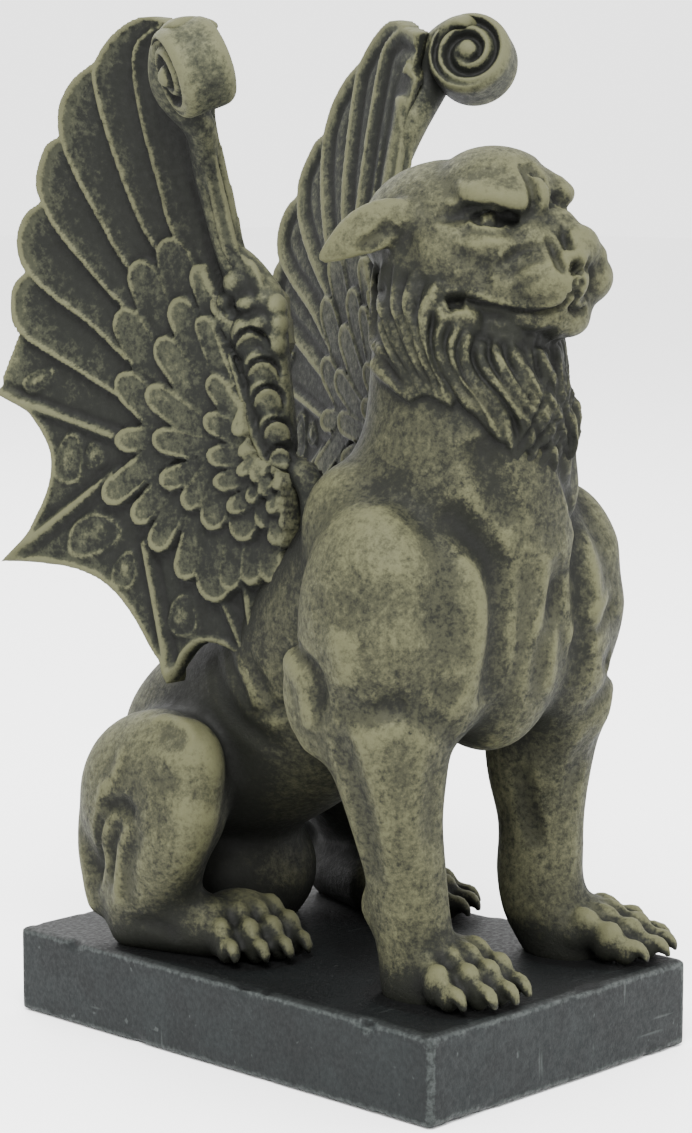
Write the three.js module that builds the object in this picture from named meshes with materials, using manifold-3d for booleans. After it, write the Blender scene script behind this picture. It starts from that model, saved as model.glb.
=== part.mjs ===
// A cast gargoyle statuette: a winged cat-like beast sitting upright on a slate-coloured plinth.
// Millimetres, +Z up. The beast looks along -Y, its right side is -X, and the origin is the
// middle of the plinth's underside.

import * as THREE from 'three';
import { mergeVertices } from 'three/addons/utils/BufferGeometryUtils.js';
import Module from 'manifold-3d';

const wasm = await Module();
wasm.setup();

// Plinth sizes
const plinthWidth = 85;
const plinthLength = 130;
const plinthHeight = 20;
const plinthEdge = 1.2;

// The figure is one casting that stands on the plinth. Its pose, proportions and carving are
// shares of its own height: places on it are given in 210ths of that height, from the middle
// of the plinth's top.
const figureHeight = 210;
const share = figureHeight / 210;

// How far the feet are let down before they are cut flat at the plinth's top
const soleCut = 40;

const point = (x, y, z) => new THREE.Vector3(x, y, z).multiplyScalar(share);
const { lerp, degToRad, clamp, smoothstep } = THREE.MathUtils;

// Solids

// A shape with shared vertices, merged while it is still in its first, exact place. A lathe's
// slivers at its axis, with two corners in one place, are dropped.
function closed(geometry) {
  geometry.deleteAttribute('normal');
  geometry.deleteAttribute('uv');
  const merged = mergeVertices(geometry, 1e-4);
  const kept = [];
  const { array } = merged.index;
  for (let i = 0; i < array.length; i += 3) {
    const [a, b, c] = array.slice(i, i + 3);
    if (a !== b && b !== c && c !== a) kept.push(a, b, c);
  }
  merged.setIndex(kept);
  return merged;
}

function turnFaces(geometry) {
  const { array } = geometry.index;
  for (let i = 0; i < array.length; i += 3) {
    [array[i + 1], array[i + 2]] = [array[i + 2], array[i + 1]];
  }
  return geometry;
}

function solidFrom(geometry) {
  return new wasm.Manifold(new wasm.Mesh({
    numProp: 3,
    vertProperties: Float32Array.from(geometry.attributes.position.array),
    triVerts: Uint32Array.from(geometry.index.array),
  }));
}

function joined(solids) {
  let whole = solids[0];
  for (const next of solids.slice(1)) whole = whole.add(next);
  return whole;
}

function geometryOf(solid) {
  const mesh = solid.getMesh();
  const geometry = new THREE.BufferGeometry();
  geometry.setAttribute('position', new THREE.BufferAttribute(mesh.vertProperties, 3));
  geometry.setIndex(new THREE.BufferAttribute(mesh.triVerts, 1));
  return geometry;
}

// A solid's largest connected skin. Where many feathers cross, a join leaves slivers and pinched
// pockets of no size, and they are left out here.
function outerSkin(geometry) {
  const { array } = geometry.index;
  const leader = Array.from({ length: geometry.attributes.position.count }, (_, i) => i);
  const find = (i) => {
    let at = i;
    while (leader[at] !== at) {
      leader[at] = leader[leader[at]];
      at = leader[at];
    }
    return at;
  };
  for (let i = 0; i < array.length; i += 3) {
    leader[find(array[i + 1])] = find(array[i]);
    leader[find(array[i + 2])] = find(array[i]);
  }
  const skins = new Map();
  for (let i = 0; i < array.length; i += 3) {
    const key = find(array[i]);
    if (!skins.has(key)) skins.set(key, []);
    skins.get(key).push(array[i], array[i + 1], array[i + 2]);
  }
  const largest = [...skins.values()].reduce((a, b) => (b.length > a.length ? b : a));
  geometry.setIndex(largest);
  return geometry;
}

// The same solid on the figure's other side. Its faces are turned round again after the mirror.
function mirroredGeometry(geometry) {
  return turnFaces(geometry.clone().scale(-1, 1, 1));
}

// A rounded lump: a ball scaled to three half-sizes, turned, and set at its middle.
function lump([x, y, z], [sizeX, sizeY, sizeZ], turn, sides) {
  const ball = closed(new THREE.SphereGeometry(1, sides, Math.round(sides * 0.6)));
  ball.rotateX(Math.PI / 2);
  ball.scale(sizeX * share, sizeY * share, sizeZ * share);
  ball.applyMatrix4(new THREE.Matrix4().makeRotationFromEuler(
    new THREE.Euler(...turn.map(degToRad), 'ZYX')));
  const middle = point(x, y, z);
  ball.translate(middle.x, middle.y, middle.z);
  return ball;
}

// A limb, lock or body skin: a round bar drawn along a curve through stations. A station is
// [x, y, z, half-width across X, half-depth across the curve]. Both ends are rounded off.
function limb(stations, sides = 10, steps = 8, roundness = 0.16) {
  const curve = new THREE.CatmullRomCurve3(stations.map(([x, y, z]) => point(x, y, z)));
  const bar = closed(new THREE.CylinderGeometry(1, 1, 1, sides, steps));
  const places = bar.attributes.position;
  const sizeAt = (t, k) => {
    const s = clamp(t, 0, 1) * (stations.length - 1);
    const i = Math.min(Math.floor(s), stations.length - 2);
    return lerp(stations[i][k], stations[i + 1][k], s - i) * share;
  };
  for (let i = 0; i < places.count; i += 1) {
    const v = places.getY(i) + 0.5;
    // Stations bunch up towards the ends so that the rounding has faces to turn on.
    const t = 0.5 - 0.5 * Math.cos(Math.PI * v);
    const ending = Math.min(t, 1 - t) / roundness;
    const round = ending >= 1 ? 1 : Math.sqrt(1 - (1 - ending) ** 2) * 0.93 + 0.07;
    const middle = curve.getPoint(t);
    const along = curve.getTangent(t);
    const across = new THREE.Vector3(1, 0, 0).addScaledVector(along, -along.x).normalize();
    const deep = new THREE.Vector3().crossVectors(across, along);
    middle.addScaledVector(across, places.getX(i) * sizeAt(t, 3) * round);
    middle.addScaledVector(deep, places.getZ(i) * sizeAt(t, 4) * round);
    places.setXYZ(i, middle.x, middle.y, middle.z);
  }
  return bar;
}

const onBothSides = (geometry) => [geometry, mirroredGeometry(geometry)];

// Trunk

function trunkParts() {
  const parts = [
    // From the rump up the sloping back to the chest, between the shoulders
    limb([[0, 57, 29, 14, 14], [0, 42, 38, 25, 23.5], [0, 14, 57, 26, 26.5],
      [0, -12, 80, 28, 27], [0, -31, 88, 29, 27], [0, -46, 88, 19, 19]], 10, 6, 0.12),
    // Neck, upright and thick, running up into the back of the head
    limb([[0, -26, 78, 30, 28], [0, -33.5, 102, 27, 27], [1, -36, 120, 23.5, 22.5],
      [2, -34, 144, 20.5, 19], [2, -30, 162, 17, 15]], 10, 4, 0.1),
    // Breastbone and the drop of the chest between the forelegs
    lump([0, -41, 77], [17, 18.5, 27], [-6, 0, 0], 8),
  ];
  const paired = [
    // Breast muscle, shoulder, point of the shoulder, blade and elbow
    lump([-14, -43, 87], [16, 16, 18], [0, 0, -18], 8),
    lump([-30, -36, 80], [13.5, 17.5, 25.5], [2, 0, 0], 8),
    lump([-21, -44, 70], [13, 12.5, 15.5], [0, 0, 0], 6),
    lump([-20, -22, 97], [14, 18, 18], [-20, 0, 0], 8),
    lump([-31, -25, 61], [8, 10, 13], [-14, 0, 0], 6),
  ];
  return [...parts, ...paired.flatMap(onBothSides)];
}

// Paws: four knuckled toes side by side on a low pad

const toeCount = 4;

function paw([x, y], turn, width, length) {
  const place = new THREE.Matrix4().makeRotationZ(degToRad(turn));
  place.setPosition(point(x, y, 0));
  const parts = [lump([0, length * 0.32, 5.5], [width * 0.48, length * 0.5, 7.8], [0, 0, 0], 6)];
  for (let i = 0; i < toeCount; i += 1) {
    const side = (i - (toeCount - 1) / 2) / ((toeCount - 1) / 2);
    const toeX = side * width * 0.36;
    const toeY = -length * (0.12 + 0.12 * (1 - side * side));
    parts.push(lump([toeX, toeY, 4.6], [width * 0.17, length * 0.31, 6.2], [16, 0, 0], 5));
  }
  return parts.map((part) => part.applyMatrix4(place));
}

// Forelegs stand straight under the shoulders. The left one's paw is set a little outward.

function forelegParts() {
  const right = limb([[-29, -35, 76, 12.5, 15], [-27, -38, 56, 13, 14.5], [-25, -38.8, 39, 11.4, 12.2],
    [-21.5, -39.5, 20, 9.4, 10], [-19.5, -41.5, 2, 9.4, 10.5]], 8, 5, 0.06);
  const left = limb([[30, -34, 76, 12.5, 15], [28.5, -34, 56, 13, 14.5], [28, -33.6, 40, 12.4, 13],
    [27.8, -36.4, 20, 9.8, 10.4], [29.5, -40, 2, 10, 11]], 8, 5, 0.06);
  return [
    right,
    left,
    lump([-22.5, -31.5, 18.5], [4.5, 4.8, 6], [0, 0, 0], 6),
    lump([26.5, -28.4, 18.5], [5, 4.8, 6], [0, 0, 0], 6),
    ...paw([-17, -51], -8, 22, 22),
    ...paw([34, -50], 22, 22, 22),
  ];
}

// Hind legs are folded: thigh along the flank, knee in front, and the whole foot down

function hindlegParts() {
  const paired = [
    lump([-30.5, 30.5, 35], [14.4, 21.8, 21], [30, 0, 6], 8),
    lump([-35, 13, 43], [9, 11, 13], [20, 0, 0], 6),
    limb([[-37, 10, 41, 8, 9], [-37, 18, 27, 8, 10], [-35.5, 29, 15, 7.5, 9],
      [-34, 38, 8, 6.5, 7]], 7, 4, 0.08),
    // Heel tendon behind the shin, and the foot
    limb([[-33.5, 45, 34, 5.5, 5], [-34.5, 46.5, 16, 4.6, 4.6], [-34, 42, 4, 5, 5.5]], 5, 3),
    limb([[-34, 40, 5, 7, 7], [-30, 24, 6, 7.5, 7.5], [-25, 10, 6, 9, 7.5]], 6, 3, 0.1),
  ];
  return [
    ...paired.flatMap(onBothSides),
    ...paw([-21.5, 8], -18, 21, 20),
    ...paw([31, 5], 18, 21, 20),
  ];
}

// Head, made looking along -Y about its own middle, then turned to the beast's left

const headPlace = [0, -33, 158];
const headTurn = 13;

function headParts() {
  const parts = [
    // Skull, forehead, jaw, bridge of the nose, nose, chin
    lump([0, 2, 5], [18, 21, 15], [0, 0, 0], 8),
    lump([0, -11, 11], [15, 13, 9.5], [12, 0, 0], 8),
    lump([0, -8, -8], [15, 18, 9], [0, 0, 0], 8),
    lump([0, -21, 3], [9, 11, 7.5], [24, 0, 0], 6),
    lump([0, -30, 0], [6.5, 5.5, 5.5], [20, 0, 0], 6),
    lump([0, -19, -12], [9.5, 10, 5], [0, 0, 0], 6),
    // Two rolls of skin between the brows
    lump([-3.6, -25, 12], [3.6, 5.4, 4], [30, 0, 0], 5),
    lump([3.6, -25, 12], [3.6, 5.4, 4], [30, 0, 0], 5),
  ];
  const paired = [
    // Cheek, whisker pad and brow
    lump([-12, -3, -2], [8, 13, 13], [0, 0, 0], 6),
    lump([-7, -25, -5], [8, 10, 7.5], [0, 0, 12], 6),
    lump([-11, -16, 13], [6.5, 9, 4], [8, -14, 24], 6),
    // The ear with its point laid back
    limb([[-14, 3, 10, 4, 6], [-19, 9, 8, 2.6, 5.5], [-23, 15, 3.5, 2, 3.6], [-26, 21, -0.5, 0.8, 1.2]],
      5, 3, 0.1),
  ];
  const mouthLine = lump([-15, -22, -10.6], [14, 16, 1.4], [4, 0, 0], 6);
  const place = new THREE.Matrix4().makeRotationZ(degToRad(headTurn));
  place.setPosition(point(...headPlace));
  const inPlace = (geometry) => solidFrom(geometry.applyMatrix4(place));
  const whole = joined([...parts, ...paired.flatMap(onBothSides)].map(inPlace));
  return whole.subtract(joined(onBothSides(mouthLine).map(inPlace)));
}

// Beard and mane: tapering locks that hang from the cheeks and the jaw in S curves. Lock 0 is
// behind the ear, and the last one hangs under the chin.

const locksEachSide = 6;
const lockRoots = new THREE.CatmullRomCurve3([[-15, -20, 160], [-17, -31, 153], [-16, -41, 150],
  [-13, -48, 147], [-7, -54, 145], [-1, -56, 144]].map((p) => point(...p)));
const lockTips = new THREE.CatmullRomCurve3([[-19, -27, 125], [-20, -38, 124], [-18, -48, 122],
  [-13, -56, 119], [-7, -61, 116], [-1.5, -63, 114]].map((p) => point(...p)));

function lock(t, swing) {
  const root = lockRoots.getPoint(t);
  const tip = lockTips.getPoint(t);
  const sideways = new THREE.Vector3().crossVectors(lockTips.getTangent(t), new THREE.Vector3(0, 0, 1));
  const stations = [0, 0.35, 0.7, 1].map((v) => {
    const place = root.clone().lerp(tip, v).addScaledVector(lockTips.getTangent(t), swing * share
      * Math.sin(v * Math.PI * 1.6));
    place.addScaledVector(sideways, -2.2 * share * Math.sin(v * Math.PI * 0.8));
    const thick = lerp(4.8, 1.2, v ** 1.6);
    return [...place.divideScalar(share).toArray(), thick, thick];
  });
  return limb(stations, 4, 4, 0.1);
}

function maneParts() {
  const locks = [];
  for (let i = 0; i < locksEachSide; i += 1) {
    locks.push(...onBothSides(lock(i / (locksEachSide - 0.5), -3.2)));
  }
  return locks;
}

// Wings. A wing is laid out in its side view, y back and z up, in shares of the figure's height.
// out is the distance from the wing's middle sheet towards the outside.

const wingRootX = 18;
const wingSpread = 0.33;
const wingRootY = -8;
const wingLean = 12;
const wingSheet = 2;

// The sheet's distance from the middle plane: it opens towards the back and leans out above
function wingX(y, z) {
  return wingRootX + wingSpread * (y - wingRootY) + wingLean * smoothstep(z, 150, 215);
}

function onWing(geometry) {
  const places = geometry.attributes.position;
  for (let i = 0; i < places.count; i += 1) {
    const [out, y, z] = [places.getX(i), places.getY(i), places.getZ(i)];
    const place = point(-wingX(y, z) - out, y, z);
    places.setXYZ(i, place.x, place.y, place.z);
  }
  return turnFaces(geometry);
}

// A plate cut to an outline of [y, z] places, from one distance out to another
function plate(outline, low, high) {
  const shape = new THREE.Shape(outline.map(([y, z]) => new THREE.Vector2(y, z)));
  const slab = closed(new THREE.ExtrudeGeometry(shape, { depth: high - low, bevelEnabled: false }));
  // The outline's axes become y and z, and the depth becomes out
  const out = new THREE.Vector3(1, 0, 0);
  const back = new THREE.Vector3(0, 1, 0);
  const up = new THREE.Vector3(0, 0, 1);
  slab.applyMatrix4(new THREE.Matrix4().makeBasis(back, up, out));
  return slab.translate(low, 0, 0);
}

// A feather: a strip along a bowed line from root to tip with a round end. Its lower edge stands
// proud and its upper edge is tucked under the next feather, on both faces of the wing.
function feather(root, tip, bow, width, thin, thick, steps = 3) {
  const bar = closed(new THREE.BoxGeometry(2, 1, 2, 1, steps, 1));
  const places = bar.attributes.position;
  const start = new THREE.Vector2(...root);
  const end = new THREE.Vector2(...tip);
  const line = end.clone().sub(start);
  const down = new THREE.Vector2(line.y, -line.x).normalize();
  const control = start.clone().lerp(end, 0.55).addScaledVector(down, bow);
  const curve = new THREE.QuadraticBezierCurve(start, control, end);
  for (let i = 0; i < places.count; i += 1) {
    const v = places.getY(i) + 0.5;
    const t = 1 - (1 - v) ** 2.2;
    const middle = curve.getPoint(t);
    const along = curve.getTangent(t);
    const lower = new THREE.Vector2(along.y, -along.x);
    const ending = clamp((1 - t) * line.length() / width, 0, 1);
    const round = Math.sqrt(1 - (1 - ending) ** 2) * 0.55 + 0.45;
    const side = places.getZ(i);
    const half = side > 0 ? thick : thin;
    middle.addScaledVector(lower, side * width * round);
    places.setXYZ(i, -places.getX(i) * half, middle.x, middle.y);
  }
  return bar;
}

const curve2 = (points) => new THREE.SplineCurve(points.map((p) => new THREE.Vector2(...p)));

// The long feathers' tips and roots lie on two curves, from the bat-like web up to the scroll.
const longFeathers = 7;
const featherTips = curve2([[64, 132], [63.5, 146], [59, 163], [52, 179], [43, 192], [32, 202], [21, 207]]);
const featherRoots = curve2([[34, 116], [31, 124], [28, 134], [25, 144], [21, 150], [17, 152], [14, 152]]);

function longFeatherParts() {
  const parts = [];
  for (let i = 0; i < longFeathers; i += 1) {
    const t = i / (longFeathers - 1);
    const root = featherRoots.getPoint(t).toArray();
    const tip = featherTips.getPoint(t).toArray();
    parts.push(feather(root, tip, lerp(2, 7, t), lerp(6, 6.6, t), 0.8, 2.6));
  }
  return parts;
}

// The bat-like web below: ribs run out to points, with the web's edge hollowed between them
const webPoints = [[67, 125], [66.5, 86], [25.5, 61], [4.5, 63]];
const webHollows = [[50.5, 108], [42, 77], [16, 75]];
const ribRoots = [[34, 115], [34, 104], [31, 92], [13, 84]];
const ribWidth = 1.3;

function webParts() {
  const outline = [[6, 100], [30, 122]];
  webPoints.forEach((tip, i) => {
    outline.push(tip);
    if (i === webHollows.length) return;
    const hollow = new THREE.QuadraticBezierCurve(new THREE.Vector2(...tip),
      new THREE.Vector2(...webHollows[i]), new THREE.Vector2(...webPoints[i + 1]));
    for (let k = 1; k < 4; k += 1) outline.push(hollow.getPoint(k / 4).toArray());
  });
  outline.push([6, 84]);
  const ribs = webPoints.map((tip, i) => feather(ribRoots[i], tip, i < 2 ? 1 : -1, ribWidth, 2.1, 2.1, 2));
  // Swollen blisters of skin on the web
  const blisters = [[49, 109, 3.2, 5.4], [42.5, 92, 4.6, 4]];
  const swellings = blisters.map(([y, z, wide, high]) => {
    const ball = closed(new THREE.SphereGeometry(1, 6, 3));
    ball.scale(wingSheet * 1.1, wide, high);
    return ball.translate(0, y, z);
  });
  return [plate(outline, -wingSheet * 0.6, wingSheet * 0.6), ...ribs, ...swellings];
}

// Short covering feathers in rows that fan round the wing's root. The outermost row's distance
// from the root depends on the angle, and the inner rows are shares of it.
const fanMiddle = [-3, 108];
const fanReach = [[-90, 24], [-60, 30], [-40, 36], [-15, 41], [0, 44], [20, 46], [40, 53], [62, 60]];
const fanAim = [[-90, -90], [-50, -88], [-25, -62], [-8, -42], [8, -5], [24, 44], [62, 60]];
const coverRows = [
  { reach: 1, count: 9, long: 15, wide: 5.6 },
  { reach: 0.74, count: 7, long: 13, wide: 5 },
  { reach: 0.48, count: 4, long: 11, wide: 5 },
];
const innerEvery = 3;

function readTable(table, angle) {
  const i = Math.max(1, table.findIndex(([a]) => a >= angle));
  const [[a0, v0], [a1, v1]] = [table[i - 1], table[i]];
  return lerp(v0, v1, (angle - a0) / (a1 - a0));
}

// A covering feather: a leaf with a round tip that lifts off the wing towards the tip. face is
// 1 on the wing's outer side and -1 on its inner side.
function cover(tipY, tipZ, aim, { long, wide }, face, rootLift, tipLift) {
  const outline = [[-long, wide * 0.5], [-long, -wide * 0.5]];
  const tipArc = 3;
  for (let i = 0; i <= tipArc; i += 1) {
    const a = degToRad(lerp(-75, 75, i / tipArc));
    outline.push([(Math.cos(a) - 1) * wide * 1.2, Math.sin(a) * wide]);
  }
  const leaf = face > 0 ? plate(outline, 0, 1) : plate(outline, -1, 0);
  const places = leaf.attributes.position;
  for (let i = 0; i < places.count; i += 1) {
    const lift = lerp(tipLift, rootLift, -places.getY(i) / long);
    places.setX(i, places.getX(i) * lift);
  }
  return leaf.rotateX(degToRad(aim)).translate(0, tipY, tipZ);
}

function coverParts() {
  const parts = [];
  coverRows.forEach((row, r) => {
    for (let i = 0; i < row.count; i += 1) {
      const angle = lerp(-88, 60, (i + (r % 2) * 0.5) / (row.count - 0.5));
      const reach = readTable(fanReach, angle) * row.reach;
      const y = fanMiddle[0] + reach * Math.cos(degToRad(angle));
      const z = fanMiddle[1] + reach * Math.sin(degToRad(angle));
      const aim = readTable(fanAim, angle);
      const faces = r === 0 && i % innerEvery === 0 ? [1, -1] : [1];
      faces.forEach((face) => parts.push(cover(y, z, aim, row, face, 1.6 + r, 4 + r)));
    }
  });
  return parts;
}

// The fleshy arm of the wing, under the covering feathers
function armPart() {
  const outline = [[-6, 98], [10, 88], [28, 96], [34, 112], [32, 132], [24, 150], [14, 160], [7, 156],
    [0, 146], [1, 136], [5, 124], [-2, 112]];
  return plate(outline, -wingSheet, wingSheet);
}

// The wing's thick leading edge: scales stacked from the root up to the bend, then a fluted
// shaft that ends in a scroll curling forward
const shaftLine = curve2([[9, 146], [10.5, 160], [14, 180], [15.5, 190], [14, 199]]);
const edgeLine = curve2([[-6, 104], [-2, 112], [5, 121], [4, 130], [0, 139], [1, 147], [7, 155]]);
const edgeScales = 5;

function shaftBar(offset, half, width) {
  const bar = closed(new THREE.BoxGeometry(2, 1, 2, 1, 4, 1));
  const places = bar.attributes.position;
  for (let i = 0; i < places.count; i += 1) {
    const t = places.getY(i) + 0.5;
    const middle = shaftLine.getPoint(t);
    places.setXYZ(i, offset + places.getX(i) * half, middle.x - places.getZ(i) * width, middle.y);
  }
  return bar;
}

function leadingParts() {
  const parts = [shaftBar(0, 3, 3.2), shaftBar(3.4, 2, 4.4), shaftBar(-3.4, 2, 4.4)];
  for (let i = 0; i < edgeScales; i += 1) {
    const t = i / (edgeScales - 1);
    const middle = edgeLine.getPoint(t);
    const scale = closed(new THREE.SphereGeometry(1, 6, 3));
    scale.scale(lerp(7, 5.6, t), 6, 7);
    parts.push(scale.translate(0, middle.x + 3, middle.y));
  }
  return parts;
}

// The scroll: a thick spiral roll whose axis lies across the wing, with a sunk face and a boss.
// It turns outward as it comes forward and dips to the outside. The two wings differ a little
// here: the left one reaches higher. Both places are given as on the right side.
const rightScroll = [-44.5, 1.7, 197.2];
const leftScroll = [-42.5, 1.5, 199.8];
const scrollRadius = 9.8;
const scrollHalf = 6.5;
const scrollTurn = -28;
const scrollDip = -20;

function scrollSolid(scrollPlace) {
  const rim = 2;
  const sunk = 2.2;
  const r = scrollRadius;
  const profile = [[0, scrollHalf], [r - 3 - rim, scrollHalf - sunk], [r - 3, scrollHalf],
    [r, scrollHalf - 1.4]];
  const upper = profile.map(([a, b]) => new THREE.Vector2(a, b)).reverse();
  const lower = profile.map(([a, b]) => new THREE.Vector2(a, -b));
  const roll = closed(new THREE.LatheGeometry([...lower, ...upper], 9));
  roll.rotateZ(-Math.PI / 2);
  roll.rotateY(degToRad(scrollDip));
  roll.rotateZ(degToRad(scrollTurn));
  roll.scale(share, share, share);
  const place = point(...scrollPlace);
  return roll.translate(place.x, place.y, place.z);
}

// The neck of the scroll: the shaft goes on up and over into the roll
function scrollNeck([x, y, z]) {
  return limb([[-31, 15.5, 172, 4, 4], [-37, 15.5, 187, 4.8, 5.4], [x + 2.5, y + 9.5, z + 3, 6, 4.6],
    [x - 0.5, y + 0.5, z + 7.6, 6.4, 2.6]], 6, 5, 0.06);
}

function wingGeometries(scrollPlace) {
  const flat = [armPart(), ...longFeatherParts(), ...webParts(), ...coverParts(), ...leadingParts()];
  return [...flat.map(onWing), scrollSolid(scrollPlace), scrollNeck(scrollPlace)];
}

// The whole figure, with its soles cut flat on the plinth's top

function figureSolid() {
  const rightWing = joined(wingGeometries(rightScroll).map(solidFrom));
  const leftWing = solidFrom(mirroredGeometry(geometryOf(joined(wingGeometries(leftScroll).map(solidFrom)))));
  const body = [...trunkParts(), ...forelegParts(), ...hindlegParts(), ...maneParts()];
  const whole = joined([headParts(), rightWing, leftWing, ...body.map(solidFrom)]);
  const below = closed(new THREE.BoxGeometry(plinthWidth * 3, plinthLength * 3, soleCut));
  below.translate(0, 0, -soleCut / 2);
  return whole.subtract(solidFrom(below));
}

// The plinth: a plain block with its upright corners and top edge eased

function plinthGeometry() {
  const x = plinthWidth / 2 - plinthEdge;
  const y = plinthLength / 2 - plinthEdge;
  const outline = new THREE.Shape([[-x, -y], [x, -y], [x, y], [-x, y]].map((p) => new THREE.Vector2(...p)));
  return new THREE.ExtrudeGeometry(outline, {
    depth: plinthHeight - 2 * plinthEdge,
    bevelThickness: plinthEdge,
    bevelSize: plinthEdge,
    bevelSegments: 1,
  }).translate(0, 0, plinthEdge);
}

const resin = new THREE.MeshStandardMaterial({ color: 0x5b5842, roughness: 0.7, metalness: 0 });
const slate = new THREE.MeshStandardMaterial({ color: 0x3f4b4c, roughness: 0.75, metalness: 0 });

const plinth = new THREE.Mesh(plinthGeometry(), slate);
plinth.name = 'plinth';

const figure = new THREE.Mesh(outerSkin(geometryOf(figureSolid())), resin);
figure.name = 'figure';
figure.position.z = plinthHeight;

const gargoyle = new THREE.Group();
gargoyle.add(plinth, figure);

export default gargoyle;
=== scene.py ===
# %% [markdown]
# The object is a small cast statue of a winged, cat-like gargoyle that sits on a slate-coloured
# plinth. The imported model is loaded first. It is the frame: it fixes the sizes, and nothing made
# here grows past it. Everything selected by the load is deselected, because operators act on
# whatever is selected.

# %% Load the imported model
import bpy
import bmesh
import math
import numpy as np
from mathutils import Matrix, Vector, noise
from mathutils.bvhtree import BVHTree


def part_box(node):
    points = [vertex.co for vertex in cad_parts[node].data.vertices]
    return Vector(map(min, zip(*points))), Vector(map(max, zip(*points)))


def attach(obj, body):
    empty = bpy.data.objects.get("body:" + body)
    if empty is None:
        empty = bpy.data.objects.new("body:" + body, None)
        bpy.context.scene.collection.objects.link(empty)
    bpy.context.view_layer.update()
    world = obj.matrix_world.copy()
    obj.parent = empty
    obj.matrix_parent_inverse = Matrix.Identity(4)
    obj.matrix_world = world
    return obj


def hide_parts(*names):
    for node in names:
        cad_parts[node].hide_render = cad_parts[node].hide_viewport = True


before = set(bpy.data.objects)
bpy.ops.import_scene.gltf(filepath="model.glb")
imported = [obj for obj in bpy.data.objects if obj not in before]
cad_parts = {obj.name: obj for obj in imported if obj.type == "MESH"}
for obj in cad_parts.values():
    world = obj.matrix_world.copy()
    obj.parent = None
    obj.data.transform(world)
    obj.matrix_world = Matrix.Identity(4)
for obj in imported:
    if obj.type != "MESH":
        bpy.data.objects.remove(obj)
bpy.ops.object.select_all(action='DESELECT')
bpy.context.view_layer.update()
plinth_low, plinth_high = [Vector(corner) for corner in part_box("plinth")]
figure_low, figure_high = [Vector(corner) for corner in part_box("figure")]

# %% [markdown]
# Places on the figure are given in thousandths of a metre at its drawn height, measured from the
# middle of the plinth's top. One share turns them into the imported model's own size, so the
# dressed figure follows the model if its height is changed.

# %% Places and sizes
drawn_height = 210.75
share = (figure_high.z - figure_low.z) / drawn_height
ground = plinth_high.z

def at(x, y, z):
    return Vector((x * share, y * share, ground + z * share))

print("one drawn unit is", round(share * 1000, 4), "mm")

# %% [markdown]
# The camera stands where the photograph was taken from: to the right of the beast's face, level
# with its chest and a little above, far enough away that the plinth's edges hardly converge. Its
# place is kept because the carving below is drawn as seen from it.

# %% Camera
camera_place = Vector((-0.5020, -0.4838, 0.2055))
camera_round, camera_up = math.radians(-46.05), math.radians(8.06)
back = Vector((math.sin(camera_round) * math.cos(camera_up),
               -math.cos(camera_round) * math.cos(camera_up), math.sin(camera_up)))
right = Vector((math.cos(camera_round), math.sin(camera_round), 0))
upward = back.cross(right)
photo_wide, photo_high, photo_focus = 692, 1133, 3130.0

bpy.ops.object.camera_add(location=camera_place)
camera = bpy.context.object
camera.rotation_euler = Matrix((right, upward, back)).transposed().to_euler()
camera.data.sensor_width = 36
camera.data.lens = photo_focus / photo_high * 36
camera.data.clip_start, camera.data.clip_end = 0.05, 20
camera.data.dof.use_dof = False
bpy.context.scene.camera = camera
print("the camera's lens is", round(camera.data.lens, 2), "mm")

# %% [markdown]
# The figure is worked as a sculptor works clay: lumps and rolls are pressed together, fused to one
# skin, smoothed, and then cut and raised along strokes. A lump is a ball scaled to three sizes. A
# roll is a cylinder cut into rings, whose rings are then laid along a curve.

# %% Lumps and rolls of clay
def chosen(piece, *others):
    """Selects these pieces alone and makes the first one active."""
    bpy.ops.object.select_all(action='DESELECT')
    for each in (piece, *others):
        each.select_set(True)
    bpy.context.view_layer.objects.active = piece

def clay_ball(place, sizes, turn=(0, 0, 0), fine=24):
    bpy.ops.mesh.primitive_uv_sphere_add(segments=fine, ring_count=fine * 2 // 3, radius=1,
                                         location=at(*place), scale=[s * share for s in sizes],
                                         rotation=[math.radians(a) for a in turn])
    piece = bpy.context.object
    bpy.ops.object.transform_apply(location=True, rotation=True, scale=True)
    return piece

def through(stations, t):
    """A smooth curve through the stations, all of whose numbers are blended alike."""
    stations = np.array(stations, dtype=float)
    ends = np.vstack([2 * stations[0] - stations[1], stations, 2 * stations[-1] - stations[-2]])
    s = min(max(t, 0), 1) * (len(stations) - 1)
    i = min(int(s), len(stations) - 2)
    u = s - i
    a, b, c, d = ends[i:i + 4]
    square, cube = 2 * a - 5 * b + 4 * c - d, 3 * b - a - 3 * c + d
    return 0.5 * (2 * b + (c - a) * u + square * u ** 2 + cube * u ** 3)

def clay_roll(stations, rings=24, sides=16, ends=0.12, tuck=0.03):
    """Stations are x, y, z, half-width across x and half-depth. Both ends are rounded off."""
    bpy.ops.mesh.primitive_cylinder_add(vertices=sides, radius=1, depth=1, end_fill_type='TRIFAN')
    piece = bpy.context.object
    bpy.ops.object.mode_set(mode='EDIT')
    shape = bmesh.from_edit_mesh(piece.data)
    for edge in shape.edges:
        edge.select = abs(edge.verts[0].co.z - edge.verts[1].co.z) > 0.5
    bmesh.update_edit_mesh(piece.data)
    bpy.ops.mesh.subdivide(number_cuts=rings - 1)
    bpy.ops.object.mode_set(mode='OBJECT')
    for vertex in piece.data.vertices:
        t = 0.5 - 0.5 * math.cos(math.pi * (vertex.co.z + 0.5))
        ending = min(t, 1 - t) / ends
        taper = 1 if ending >= 1 else math.sqrt(1 - (1 - ending) ** 2) * (1 - tuck) + tuck
        x, y, z, wide, deep = through(stations, t)
        along = Vector(through(stations, t + 0.01)[:3] - through(stations, t - 0.01)[:3]).normalized()
        across = (Vector((1, 0, 0)) - along * along.x).normalized()
        outward = across.cross(along)
        place = Vector((x, y, z)) + (across * vertex.co.x * wide + outward * vertex.co.y * deep) * taper
        vertex.co = at(*place)
    return piece

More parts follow.
